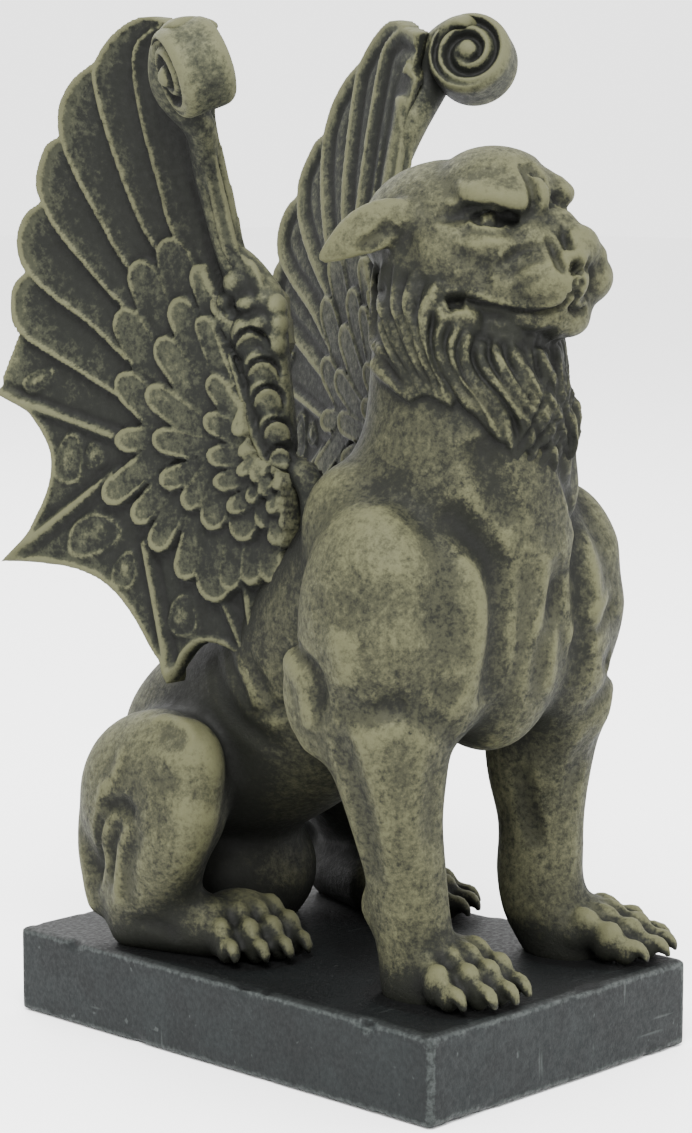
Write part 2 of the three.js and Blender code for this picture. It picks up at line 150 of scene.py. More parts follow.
def mirrored(piece):
    copy = piece.copy()
    copy.data = piece.data.copy()
    bpy.context.collection.objects.link(copy)
    for vertex in copy.data.vertices:
        vertex.co.x *= -1
    copy.data.flip_normals()
    return copy

def both_sides(piece):
    return [piece, mirrored(piece)]

print("lumps and rolls are ready")

# %% [markdown]
# Fusing is a voxel remesh: the pieces become one skin of even small faces, as wet clay does when
# it is pressed together. A smoothing pass then rounds the seams between the lumps.

# %% Press together and smooth
def joined(pieces, name):
    chosen(*pieces)
    if len(pieces) > 1:
        bpy.ops.object.join()
    whole = bpy.context.object
    whole.name = whole.data.name = name
    return whole

def pressed(pieces, name, voxel):
    whole = joined(pieces, name)
    modifier = whole.modifiers.new("press", 'REMESH')
    modifier.mode = 'VOXEL'
    modifier.voxel_size = voxel
    bpy.ops.object.modifier_apply(modifier=modifier.name)
    return whole

def smoothed(piece, rounds, factor=0.5):
    chosen(piece)
    modifier = piece.modifiers.new("smooth", 'SMOOTH')
    modifier.factor = factor
    modifier.iterations = rounds
    bpy.ops.object.modifier_apply(modifier=modifier.name)
    return piece

print("pressing and smoothing are ready")

# %% [markdown]
# A carving stroke moves the skin's points in or out along their normals, most at the stroke's
# middle and not at all past its width. Strokes are drawn as the camera sees them: each place is a
# place in the photograph's frame, and a ray from the camera finds the skin behind it. A stroke can
# be copied to the hidden side by mirroring its places and laying them on the skin again.

# %% Carving strokes
def points_of(piece):
    flat = np.empty(len(piece.data.vertices) * 3)
    piece.data.vertices.foreach_get("co", flat)
    return flat.reshape(-1, 3)

def normals_of(piece):
    flat = np.empty(len(piece.data.vertices) * 3)
    piece.data.vertices.foreach_get("normal", flat)
    return flat.reshape(-1, 3)

def put_points(piece, points):
    piece.data.vertices.foreach_set("co", points.ravel())
    piece.data.update()

def sight_line(px, py):
    ray = right * (px - photo_wide / 2) - upward * (py - photo_high / 2) - back * photo_focus
    return ray.normalized()

def seen(skin, px, py):
    """The place on the skin that the camera sees at one place of the photograph's frame."""
    return skin.ray_cast(camera_place, sight_line(px, py))[0]

def fine_path(places, step=0.0006):
    places = [np.array(p) for p in places]
    length = sum(np.linalg.norm(b - a) for a, b in zip(places, places[1:]))
    count = max(4, int(length / step))
    return [through(places, i / count) for i in range(count + 1)]

def stroke(piece, path, width, height, sharp=2.0, fade=0.25, skin=None):
    """Raises the skin by height along the path, or cuts it where height is negative.

    The skin moves along its mean direction near the path, so that a deep cut doesn't fold it."""
    path = np.array(fine_path(path))
    if skin is not None:
        path = np.array([skin.find_nearest(Vector(p))[0] for p in path])
    points, normals = points_of(piece), normals_of(piece)
    low, high = path.min(0) - width, path.max(0) + width
    near = np.where(((points > low) & (points < high)).all(1))[0]
    if not len(near):
        return 0
    gaps = ((points[near][:, None, :] - path[None, :, :]) ** 2).sum(2)
    nearest, gap = gaps.argmin(1), gaps.min(1)
    close = gap < width ** 2
    mean = np.zeros_like(path)
    np.add.at(mean, nearest[close], normals[near][close])
    spread = np.exp(-0.5 * ((np.arange(len(path))[:, None] - np.arange(len(path))[None, :]) / 4) ** 2)
    mean = spread @ mean
    mean /= np.linalg.norm(mean, axis=1)[:, None] + 1e-9
    place = nearest / (len(path) - 1)
    amount = np.clip(1 - gap / width ** 2, 0, 1) ** sharp
    amount *= np.clip((normals[near] * mean[nearest]).sum(1) * 2 + 0.4, 0, 1)
    if fade:
        amount *= np.clip(np.minimum(place, 1 - place) / fade, 0, 1) ** 0.5 * 0.9 + 0.1
    points[near] += mean[nearest] * (amount * height)[:, None]
    put_points(piece, points)
    return len(near)

print("carving strokes are ready")

# %% [markdown]
# The body is the block-in, made of the main masses: the trunk that slopes up from the rump to the
# chest, the thick neck, the legs and paws. Shoulder, breast and thigh muscles are lumps laid on
# it. What is the same on both sides is made once and mirrored, each copy with its own mesh.

# %% Trunk and neck
trunk = [
    clay_roll([(0, 57, 29, 14, 14), (0, 42, 39, 26, 24), (0, 14, 57, 26, 26.5), (0, -12, 80, 28, 27),
               (0, -31, 88, 29, 27), (0, -46, 88, 20, 19)], rings=34, sides=40),
    clay_roll([(0, -26, 78, 30, 28), (0, -33.5, 102, 27, 27), (1, -36, 120, 23.2, 22.6),
               (2, -34, 144, 20.5, 19), (2, -30, 162, 17, 15)], rings=30, sides=40),
    clay_ball((0, -40, 77), (17, 19, 27), (-6, 0, 0), 32),
    clay_ball((0, -20, 66), (17, 22, 14), (-26, 0, 0), 32),
    clay_ball((0, 37, 11), (22, 18, 17), (0, 0, 0), 32),
]
print("the trunk is", len(trunk), "masses")

# %% Muscles of the chest and shoulders
for ball in (
    ((-13.5, -42, 82), (15, 17.5, 24), (0, 0, -18)),
    ((-30, -36, 82), (13.5, 17.5, 25.5), (2, 0, 0)),
    ((-20, -25, 98), (13, 15, 17), (-20, 0, 0)),
    ((-20, -44, 70), (13, 13, 16), (0, 0, -10)),
    ((-34, -24, 64), (6.5, 8.5, 14), (-14, 0, 0)),
    ((-27, -38, 60), (14, 15, 16), (0, 0, 0)),
):
    trunk += both_sides(clay_ball(*ball, fine=32))
print("with its muscles the trunk is", len(trunk), "masses")

# %% [markdown]
# The forelegs stand straight and are broad slabs that narrow to the wrist. The right one stands a
# little ahead, and the left paw is turned outward. The hind legs are folded: a round thigh along
# the flank, the knee in front, a shin that slopes back to the heel, and a long foot flat down.

# %% Legs
legs = [
    clay_roll([(-29, -35, 78, 12.5, 15), (-27, -38, 56, 13, 14), (-25, -38.8, 39, 10, 10.6),
               (-22.5, -39.3, 27, 8.7, 9.3), (-20.5, -40, 13, 8.3, 8.8), (-19.5, -41.5, 4, 9, 10),
               (-19.5, -41.5, -4, 9, 10)], rings=34, sides=28, ends=0.05),
    clay_roll([(30, -34, 78, 12.5, 15), (28.5, -34, 56, 13, 14), (28, -33.4, 42, 12, 12.4),
               (28, -34.5, 30, 9.8, 10.4), (27, -35, 22, 9.6, 10.2), (26.8, -35.6, 12, 9.6, 10),
               (29.5, -40, 4, 9.6, 10.5), (29.5, -40, -4, 9.6, 10.5)], rings=34, sides=28, ends=0.05),
    clay_ball((-23, -31.5, 18.5), (4.6, 4.6, 6)),
    clay_ball((26.5, -27.8, 18.5), (5, 4.6, 6)),
]
for ball in (
    ((-31.5, 30.2, 34.6), (13.6, 19.4, 20.4), (30, 0, 6)), ((-36, 15, 43.5), (8, 10.5, 12.5), (20, 0, 0)),
    ((-34, 23, 41.5), (10.4, 16, 14.5), (20, 0, 0)), ((-34.5, 26, 24), (9, 12, 15), (-34, 0, 0)),
):
    legs += both_sides(clay_ball(*ball, fine=32))
for roll in (
    [(-37.5, 10, 42, 7.5, 9), (-38, 18.5, 28, 8, 10.5), (-36.5, 28.5, 16, 7.4, 9.2),
     (-34.5, 37, 8, 6.5, 7)],
    [(-33, 44, 36, 6, 5), (-34.5, 47, 25, 5.5, 4), (-34.5, 45, 13, 5.5, 4.6), (-34.5, 42, 5, 5, 5.5)],
    [(-34.5, 41, 4.5, 7, 7), (-30, 25, 5.5, 7.5, 7.5), (-25, 10, 6, 9, 7.5)],
):
    legs += both_sides(clay_roll(roll, rings=24, sides=24, ends=0.1))
print("the legs are", len(legs), "masses")

# %% [markdown]
# A paw is a low pad with four toes side by side. Each toe rises to a knuckle, drops to a second
# one, and ends in a blunt oval claw that bends down to the plinth.

# %% Paws
def paw(middle, turn, width, length):
    masses = [clay_ball((0, length * 0.36, 5.5), (width * 0.47, length * 0.5, 7.8), fine=18)]
    for i in range(4):
        side = (i - 1.5) / 1.5
        x = side * width * 0.38
        y = -length * (0.10 + 0.16 * (1 - side * side))
        lean = side * 9
        for place, sizes in (
            ((x * 0.86, y + 6.0, 7.4), (width * 0.12, 5.0, 4.8)),
            ((x, y - 0.2, 5.0), (width * 0.13, 3.9, 4.9)),
            ((x * 1.04, y - 4.2, 3.2), (width * 0.112, 3.0, 3.3)),
        ):
            masses.append(clay_ball(place, sizes, (12, 0, lean), fine=14))
        claw = clay_roll([(x * 1.04, y - 4.6, 5.2, 1.8, 1.6), (x * 1.07, y - 8.0, 4.2, 1.7, 1.4),
                          (x * 1.09, y - 10.0, 1.2, 1.0, 0.9)], rings=10, sides=12, ends=0.2)
        masses.append(claw)
    place = (Matrix.Translation((middle[0] * share, middle[1] * share, 0))
             @ Matrix.Rotation(math.radians(turn), 4, 'Z'))
    for mass in masses:
        mass.data.transform(place)
    return masses

paws = paw((-17.2, -50.5), -8, 22, 21) + paw((34, -49.5), 22, 22, 21)
paws += paw((-22, 9), -18, 22, 19) + paw((31, 6), 18, 22, 19)
print("the four paws are", len(paws), "masses")

# %% [markdown]
# The head is a big cat's: a flat crown, heavy brow rolls that lean in over deep-set eyes, a broad
# nose, swollen whisker pads, a wide closed mouth and a small chin. It is made looking straight
# ahead about its own middle and is then turned to the beast's left. Its far side is the same.

# %% Head masses
head_place, head_turn = (0, -33, 158), 13
turned = (Matrix.Translation(at(*head_place)) @ Matrix.Rotation(math.radians(head_turn), 4, 'Z')
          @ Matrix.Translation(-at(0, 0, 0)))

def on_head(masses):
    for mass in masses:
        mass.data.transform(turned)
    return masses

head = [
    clay_ball((0, 1, 4.8), (17.6, 20.5, 15.2)),
    clay_ball((0, -9.5, 13), (13.6, 13.4, 9.9), (6, 0, 0)),
    clay_ball((0, -7, -7), (15, 18, 10)),
    clay_ball((0, -19, 4), (7.2, 12, 8.5), (24, 0, 0)),
    clay_ball((0, -28.4, 1.2), (6.1, 5, 5.6), (24, 0, 0)),
    clay_ball((0, -18, -11), (12.4, 13.4, 6.4)),
    clay_ball((0, -26.5, -13), (6.2, 4.8, 4.4)),
]
for ball in (
    ((-11.5, -2, -2), (8, 14, 13), (0, 0, 0)),
    ((-6.6, -24.8, -4.8), (7.1, 9.4, 6.7), (0, 0, 14)),
    ((-10, -13, -6), (7, 12, 7), (0, 0, 12)),
    ((-9.6, -14.6, 12.6), (5.2, 9.0, 3.7), (14, -12, 20)),
    ((-5.0, -19.8, 12.4), (4.2, 5.2, 4.8), (26, 0, 8)),
    ((-12.4, -12, 1), (5, 9, 5.4), (0, 0, 8)),
    ((-6.4, -20, 1.6), (5.2, 9, 6.4), (16, 0, 8)),
    ((-4.4, -30.8, -0.2), (2.8, 2.8, 3), (0, 0, 0)),
):
    head += both_sides(clay_ball(*ball, fine=20))
print("the head is", len(head), "masses")

# %% [markdown]
# The ear is a leaf laid back along the head. The hollow in it is cut later, by a stroke.

# %% Ears
ear = clay_roll([(-13, 1, 5.5, 4.5, 4.6), (-18, 6, 7, 3.2, 5.4), (-21.5, 11.5, 4.6, 2.4, 5.2),
                 (-23.8, 16.5, 1, 1.8, 3), (-24.6, 20, -1.3, 0.8, 1.1)], rings=18, sides=16, ends=0.08)
head += both_sides(ear)
on_head(head)
print("the head with its ears is", len(head), "masses")

# %% [markdown]
# The head with its mane is pressed as a piece of its own, with a finer skin than the body's. It
# takes a sleeve of the neck with it that starts just outside the body's neck and ends just inside,
# so that one skin passes into the other without a step. The torso is smoothed most, so that one
# muscle runs into the next, and the paws hardly at all.

# %% Press the torso and the skull
torso = smoothed(pressed(trunk + legs, "torso", 1.6 * share), 20, 0.6)
neck_sleeve = clay_roll([(0, -34.6, 106, 25.6, 25), (1, -36.2, 120, 23.4, 22.6),
                         (2, -34.6, 140, 21.4, 20), (2, -32, 156, 18, 16)], rings=24, sides=48, ends=0.1)
skull = smoothed(pressed(head + [neck_sleeve], "skull", 0.8 * share), 6)
under_locks = [clay_ball((-1.5, -48.5, 133), (12, 10, 19), (-12, 0, 0), 28)]
under_locks += both_sides(clay_ball((-12.5, -37, 141), (8.6, 13.6, 17), (-8, 0, 0), 28))
print("the torso has", len(torso.data.polygons), "faces and the skull", len(skull.data.polygons))

# %% [markdown]
# The mane hangs from the cheeks and the jaw in locks that swing in an S and thin to a point. Each
# lock is laid on the skin along places in the photograph's frame, and is half sunk in it. What
# the camera doesn't see is a mirrored copy, pulled a little inward.

# %% Mane and beard
def skins_of(pieces):
    corners, faces = [], []
    for piece in pieces:
        first = len(corners)
        corners += [v.co for v in piece.data.vertices]
        faces += [tuple(first + i for i in p.vertices) for p in piece.data.polygons]
    return BVHTree.FromPolygons(corners, faces)

lock_taper, tip_stands_out = 6, 1.3
under_mane = skins_of([torso, skull] + under_locks)

def lock(places, thick):
    stations = []
    for i in range(2 * len(places) - 1):
        v = i / (2 * len(places) - 2)
        px, py = through(places, v)
        hit = seen(under_mane, px, py)
        if hit is None:
            continue
        x, y, z = hit / share + (camera_place - hit).normalized() * tip_stands_out * v * v
        size = thick * min(0.12 + 1.5 * v, 1) * (1 - v ** lock_taper) + 0.45
        stations.append((x, y, z - ground / share, size, size))
    return clay_roll(stations, rings=44, sides=14, ends=0.05)

locks = [(places, thick) for thick, places in (
    (1.9, [(366, 262), (361, 285), (359, 310), (364, 335), (378, 362), (394, 380), (412, 402)]),
    (1.3, [(374, 262), (370, 292), (371, 322), (383, 350), (401, 376), (419, 399)]),
    (1.6, [(384, 262), (382, 292), (385, 322), (396, 348), (410, 374), (427, 397)]),
    (1.4, [(398, 265), (395, 295), (398, 325), (406, 350), (419, 374), (433, 400)]),
    (1.7, [(414, 270), (408, 298), (408, 325), (415, 351), (427, 377), (443, 404)]),
    (2.0, [(436, 282), (427, 305), (422, 332), (426, 358), (437, 382), (453, 409)]),
    (1.4, [(446, 316), (438, 336), (440, 358), (450, 380), (464, 398), (474, 412)]),
    (2.3, [(458, 326), (451, 348), (455, 370), (468, 392), (486, 411), (503, 444)]),
    (1.6, [(470, 332), (464, 352), (471, 374), (487, 395), (502, 418), (512, 452)]),
    (2.0, [(484, 338), (481, 358), (492, 378), (510, 397), (526, 420), (533, 456)]),
    (2.0, [(494, 338), (498, 360), (514, 384), (532, 408), (548, 436), (558, 470)]),
    (2.0, [(512, 340), (519, 364), (534, 388), (549, 412), (560, 438), (566, 466)]),
    (1.8, [(534, 338), (543, 362), (554, 388), (564, 414), (570, 440), (571, 462)]),
    (1.6, [(553, 334), (559, 360), (566, 386), (572, 410), (574, 430), (573, 448)]),
)]
mane, far_in, far_back = [], 0.88, 1.2
for places, thick in locks:
    near_lock = lock(places, thick * 1.15)
    far_lock = mirrored(near_lock)
    for vertex in far_lock.data.vertices:
        vertex.co.x *= far_in
        vertex.co.y += far_back * share
    mane += [near_lock, far_lock]
mane_skin = skins_of(mane)
print("the mane has", len(mane), "locks")

# %% Press the body and the head
body = smoothed(pressed([torso] + paws, "figure_body", 0.94 * share), 2)
beast_head = smoothed(pressed([skull] + under_locks + mane, "figure_head", 0.56 * share), 3)
print("the body has", len(body.data.polygons), "faces and the head", len(beast_head.data.polygons))

# %% [markdown]
# Each stroke below is a name for the mark, its places in the photograph's frame, its half-width and
# its height in millimetres. A negative height cuts in. What the camera sees on the beast's right
# side is copied to the left one.

# %% Strokes on the trunk and the legs
mm = share

def strokes(carved, marks, copied=True):
    skin = skins_of(carved)
    for name, places, width, height in marks:
        path = [seen(skin, px, py) for px, py in places]
        path = [place for place in path if place is not None]
        if len(path) < 2:
            print("no skin behind", name)
            continue
        other = [Vector((-place.x, place.y, place.z)) for place in path]
        for piece in carved:
            stroke(piece, path, width * mm, height * mm)
            if copied:
                stroke(piece, other, width * mm, height * mm, skin=skin)

strokes([body, beast_head], (
    ("groove of the neck", [(474, 440), (482, 462), (495, 495), (508, 532)], 6, -1.6),
    ("cord of the neck", [(455, 432), (470, 470), (488, 508)], 4, 0.5),
    ("breast and shoulder", [(440, 508), (470, 533), (494, 565), (503, 610), (498, 660), (484, 705)],
     5.5, -3.0),
    ("rim of the breast", [(520, 548), (543, 568), (550, 602), (542, 650), (525, 700)], 6, 0.9),
    ("under the shoulder", [(312, 612), (345, 604), (385, 606), (425, 613), (452, 622)], 8, -0.8),
    ("dent of the upper arm", [(374, 700), (392, 705), (408, 699)], 5, -1.2),
    ("second dent", [(432, 700), (448, 694), (462, 700)], 5, -1.1),
    ("foot of the upper arm", [(335, 706), (365, 718), (400, 712), (430, 722), (456, 738)], 4.5, -1.2),
    ("bulge of the upper arm", [(345, 630), (342, 660), (348, 690)], 6, 1.0),
    ("outer foreleg groove", [(338, 722), (352, 780), (366, 835), (374, 885)], 5, -1.5),
    ("front foreleg groove", [(398, 725), (402, 765), (406, 815)], 5, -0.7),
    ("inner foreleg groove", [(434, 760), (430, 800), (432, 850)], 4, -0.6),
    ("elbow", [(286, 640), (297, 672), (308, 706), (314, 735)], 4, 1.2),
    ("behind the elbow", [(296, 625), (312, 668), (322, 712)], 3.5, -1.6),
    ("flank fold one", [(215, 655), (222, 690), (245, 725), (285, 752)], 4, -1.0),
    ("flank fold two", [(228, 652), (240, 685), (262, 715), (300, 742)], 3, -0.9),
    ("flank fold three", [(245, 650), (260, 680), (285, 710), (312, 730)], 3, -0.9),
    ("flank roll", [(235, 655), (250, 690), (275, 722), (310, 745)], 3, 0.7),
    ("knee hollow", [(158, 730), (172, 737), (190, 738)], 5, -1.3),
    ("over the knee", [(150, 722), (170, 718), (190, 730), (193, 745)], 2.5, 0.8),
    ("thigh split", [(124, 745), (116, 775), (104, 788), (98, 808)], 2.5, 0.7),
    ("hollow of the thigh", [(102, 816), (110, 806), (124, 806), (132, 819)], 3, -1.7),
    ("hamstring groove", [(103, 815), (99, 840), (103, 878)], 2.2, -1.6),
    ("first tendon", [(112, 812), (106, 838), (109, 868), (100, 897)], 2.4, 0.9),
    ("between the tendons", [(120, 820), (113, 850), (113, 885)], 2.0, -0.9),
    ("second tendon", [(131, 822), (122, 850), (118, 885), (117, 905)], 2.4, 0.9),
    ("calf groove", [(140, 830), (130, 860), (128, 900)], 3.5, -0.8),
    ("thigh hollow", [(160, 770), (164, 800), (158, 840)], 6, -0.7),
    ("foot line", [(125, 918), (160, 925), (180, 940)], 3, -0.6),
))
strokes([body, beast_head], (
    ("breastbone", [(556, 556), (556, 600), (548, 650), (536, 700)], 4.5, -2.0),
    ("far breast fold", [(566, 642), (590, 612), (611, 586)], 3, 0.9),
    ("far breast groove", [(568, 657), (595, 634), (615, 604)], 2.5, -1.0),
    ("far neck groove", [(564, 432), (570, 485), (576, 545)], 4, -1.8),
    ("far leg groove", [(520, 765), (527, 810), (536, 850)], 4, -1.2),
), copied=False)
print("trunk and legs are carved")

# %% [markdown]
# The face is carved last. The eye is a small ball in a deep hollow under the brow roll, with a lid
# above and below it. The mouth is one long cut that ends in a hole at its corner. The nostrils are
# short deep cuts shaped like commas.

# %% Strokes on the face
strokes([beast_head], (
    ("hollow under the brow", [(436, 212), (452, 216), (470, 213), (490, 211), (508, 215), (520, 219)],
     3.0, -1.5),
    ("inner corner of the eye", [(503, 214), (510, 218), (518, 221)], 2.6, -1.6),
    ("brow roll", [(446, 204), (464, 199), (484, 196), (505, 197), (521, 203)], 3.0, 0.6),
    ("over the brow", [(462, 184), (478, 175), (494, 170), (508, 170)], 2.6, -0.4),
    ("crease between the brows", [(521, 163), (529, 175), (534, 189), (535, 203), (529, 214)], 2.0, -2.0),
    ("eyeball", [(480, 221), (488, 221), (496, 222)], 3.4, 1.2),
    ("nose side", [(543, 238), (551, 243), (555, 253), (560, 265), (569, 273)], 1.7, -1.3),
    ("nostril", [(580, 259), (578, 267), (571, 274)], 1.5, -2.6),
    ("nose wing", [(563, 250), (566, 262), (573, 269)], 2.2, 0.7),
    ("cheekbone", [(452, 240), (474, 243), (500, 241), (525, 238)], 2.6, 0.3),
    ("under the cheekbone", [(450, 254), (475, 258), (500, 254)], 3.0, -0.6),
    ("pad crease one", [(494, 268), (510, 257), (528, 249), (545, 246)], 1.5, -0.6),
    ("pad crease two", [(500, 280), (514, 271), (532, 262), (546, 262)], 1.2, -0.4),
    ("pad crease three", [(512, 290), (526, 282), (540, 278)], 1.2, -0.3),
    ("back of the pad", [(486, 258), (483, 275), (486, 292)], 2.6, -0.8),
    ("upper lip", [(450, 294), (466, 293), (482, 297), (500, 302), (520, 305), (545, 305), (562, 299)],
     1.8, 0.6),
    ("mouth", [(455, 300), (472, 301), (494, 306), (518, 311), (542, 312), (560, 307), (571, 298),
               (577, 290)], 1.1, -1.5),
    ("mouth corner", [(446, 304), (455, 301), (467, 303)], 2.6, -3.2),
    ("lower lip", [(456, 312), (474, 316), (496, 322), (518, 326), (542, 325), (562, 317)], 2.4, 0.8),
    ("under the lip", [(462, 327), (480, 336), (505, 344), (535, 346), (560, 338)], 1.6, -0.7),
    ("fold behind the mouth", [(440, 280), (436, 296), (440, 314), (452, 322)], 2.0, 0.8),
    ("ear hollow", [(392, 222), (382, 234), (370, 243), (356, 250)], 2.6, -1.2),
    ("behind the jaw", [(398, 225), (408, 250), (420, 275)], 4.0, -0.9),
))
strokes([beast_head], (
    ("upper lid", [(464, 217), (477, 210), (493, 207), (505, 213)], 1.3, 0.9),
    ("lid crease", [(468, 219), (480, 214), (494, 211), (504, 217)], 0.8, -0.7),
    ("lower lid", [(466, 222), (480, 229), (498, 231), (510, 226)], 1.3, 0.8),
    ("gap of the eye", [(471, 222), (484, 226), (500, 227)], 0.8, -0.6),
    ("philtrum", [(578, 277), (576, 288), (579, 298)], 1.2, -1.2),
))

# %% [markdown]
# Between every two locks of the mane a groove is cut, halfway between their places, and a fine one
# runs down the middle of each lock.

# %% Grooves of the mane
def halfway(first, second):
    return [((x + u) / 2, (y + v) / 2) for (x, y), (u, v) in zip(first, second[-len(first):])]

strokes([beast_head], [("between two locks", halfway(first, second), 1.15, -1.1)
                       for (first, _), (second, _) in zip(locks, locks[1:])])
strokes([beast_head], [("down a lock", places[1:], 0.8, -0.5) for places, _ in locks])
print("the face is carved")

# %% [markdown]
# A wing is a thin sheet that opens towards the back and leans out above. It is made flat first, in
# its side view, where feathers are easy to lay out, and only then bent to its place. A place on the
# sheet is y back and z up, and a third number is the distance out from the sheet's middle.

# %% The wing's sheet
def wing_x(y, z):
    lean = np.clip((z - 150) / 65, 0, 1)
    return 18 + 0.33 * (y + 8) + 12 * lean * lean * (3 - 2 * lean)

def wing_thick(y, z):
    return 1.0 + 3.0 * np.exp(-((y - 4) ** 2 / 700 + (z - 122) ** 2 / 1300))

def on_wing(px, py, lift=1.0, thick=1.0):
    """The place y, z that is seen at one place of the photograph's frame, this far off the sheet."""
    ray = sight_line(px, py)
    near, far, halvings = 0.45, 0.95, 40
    for _ in range(halvings):
        middle = (near + far) / 2
        p = camera_place + ray * middle
        x, y, z = p.x / share, p.y / share, (p.z - ground) / share
        if x + wing_x(y, z) + thick * wing_thick(y, z) + lift < 0:
            near = middle
        else:
            far = middle
    return y, z

def curve(places, count=40):
    return [tuple(through(places, i / count)) for i in range(count + 1)]

print("the first feather ends at", [round(v, 1) for v in on_wing(150, 16)])

# %% [markdown]
# The long feathers overlap like shingles. Each list is one feather's lower edge, from its root out
# to the tip and over it to where the next feather covers it. The first is the lowest one.

# %% Long feathers
feather_edges = [curve([on_wing(px, py) for px, py in edge]) for edge in (
    [(205, 440), (168, 425), (113, 393), (60, 360), (27, 339), (15, 322), (13, 300), (17, 283),
     (30, 270)],
    [(205, 415), (165, 388), (130, 363), (93, 327), (53, 297), (28, 272), (20, 252), (20, 232),
     (28, 213), (44, 201)],
    [(205, 390), (165, 345), (123, 307), (87, 267), (57, 230), (43, 202), (38, 182), (42, 160),
     (50, 143), (66, 134)],
    [(210, 370), (170, 320), (127, 267), (100, 220), (77, 177), (63, 143), (60, 120), (63, 100),
     (77, 77), (102, 58)],
    [(225, 350), (190, 300), (150, 240), (130, 197), (113, 150), (98, 100), (94, 74), (100, 55),
     (115, 34), (134, 20), (152, 16), (170, 22)],
    [(240, 340), (205, 290), (173, 233), (160, 187), (147, 140), (138, 100), (134, 62), (138, 43),
     (149, 32), (168, 24), (195, 30)],
    [(250, 330), (225, 285), (208, 247), (200, 200), (190, 160), (182, 123), (180, 90), (190, 60)],
)]
feather_backs = [[on_wing(px, py) for px, py in back_line] for back_line in (
    [(93, 318), (165, 330), (215, 400)], [(87, 258), (165, 290), (215, 360)],
    [(100, 211), (175, 280), (225, 340)], [(130, 188), (195, 270), (235, 320)],
    [(180, 120), (215, 260), (250, 320)], [(205, 120), (232, 260), (255, 320)],
    [(207, 80), (205, 123), (232, 250), (255, 320)],
)]
sheets = [edge + list(rest) for edge, rest in zip(feather_edges, feather_backs)]
print("the wing has", len(feather_edges), "long feathers")

# %% [markdown]
# Below them the wing is a bat's: straight ribs run out to points, and the skin between two points
# is hollowed. Kidney-shaped blisters swell on it.

# %% Bat-like web
hollows = [
    curve([(67, 124.5), (60, 120), (55.5, 113.6), (54.6, 108), (56.5, 101), (61.7, 92), (66.5, 86)], 20),
    curve([(66.5, 86), (56, 86), (47.7, 85), (40.8, 82), (35, 76), (29.6, 67), (25.4, 60.6)], 20),
    curve([(25.4, 60.6), (21.6, 67.4), (17.2, 70.7), (11, 69.6), (6.2, 65.2), (4.3, 62.6)], 20),
]
ribs = [((67, 124.5), (38, 116)), ((66.5, 86), (38, 108)), ((25.4, 60.6), (31, 92)),
        ((4.3, 62.6), (12.5, 82)), ((4.3, 62.6), (6.4, 84))]
web_line = hollows[0] + hollows[1] + hollows[2]
web_sheet = web_line + [(3, 84), (0, 100), (20, 120), (36, 128), (62, 139), (66.8, 128)]
blisters = [((49.6, 110.5), (2.6, 4.6), 10), ((43.5, 111.5), (1.7, 2.2), 0),
            ((44, 93.5), (5.6, 3.4), -24), ((36, 86), (2.2, 3.4), 20),
            ((22, 76.5), (2.8, 3.8), 10), ((57, 128), (1.6, 3.4), 60)]
print("the web has", len(ribs), "ribs and", len(blisters), "blisters")

# %% [markdown]
# Short feathers cover the roots of the long ones in rows, and every row lies on the row outside it.
# Each entry is a tip, a root and a width in the photograph's frame, counted in quarters of a place
# from the corner where the wing starts.

# %% Covering feathers
covered_from = np.array((90, 225))

def covering(entries):
    rows = []
    for tip_x, tip_y, root_x, root_y, width in entries:
        tip_seen = covered_from + np.array((tip_x, tip_y)) / 4
        root_seen = covered_from + np.array((root_x, root_y)) / 4
        along = root_seen - tip_seen
        side = np.array((-along[1], along[0])) / np.linalg.norm(along) * width / 8
        tip, root = np.array(on_wing(*tip_seen, 2)), np.array(on_wing(*root_seen, 2))
        axis = (root - tip) / np.linalg.norm(root - tip)
        middle = tip_seen + along * 0.4
        across = np.array(on_wing(*(middle + side))) - np.array(on_wing(*(middle - side)))
        half = abs(across[0] * axis[1] - across[1] * axis[0]) / 2
        rows.append((tip, axis, np.linalg.norm(root - tip) * 1.2, half * 1.06))
    return rows

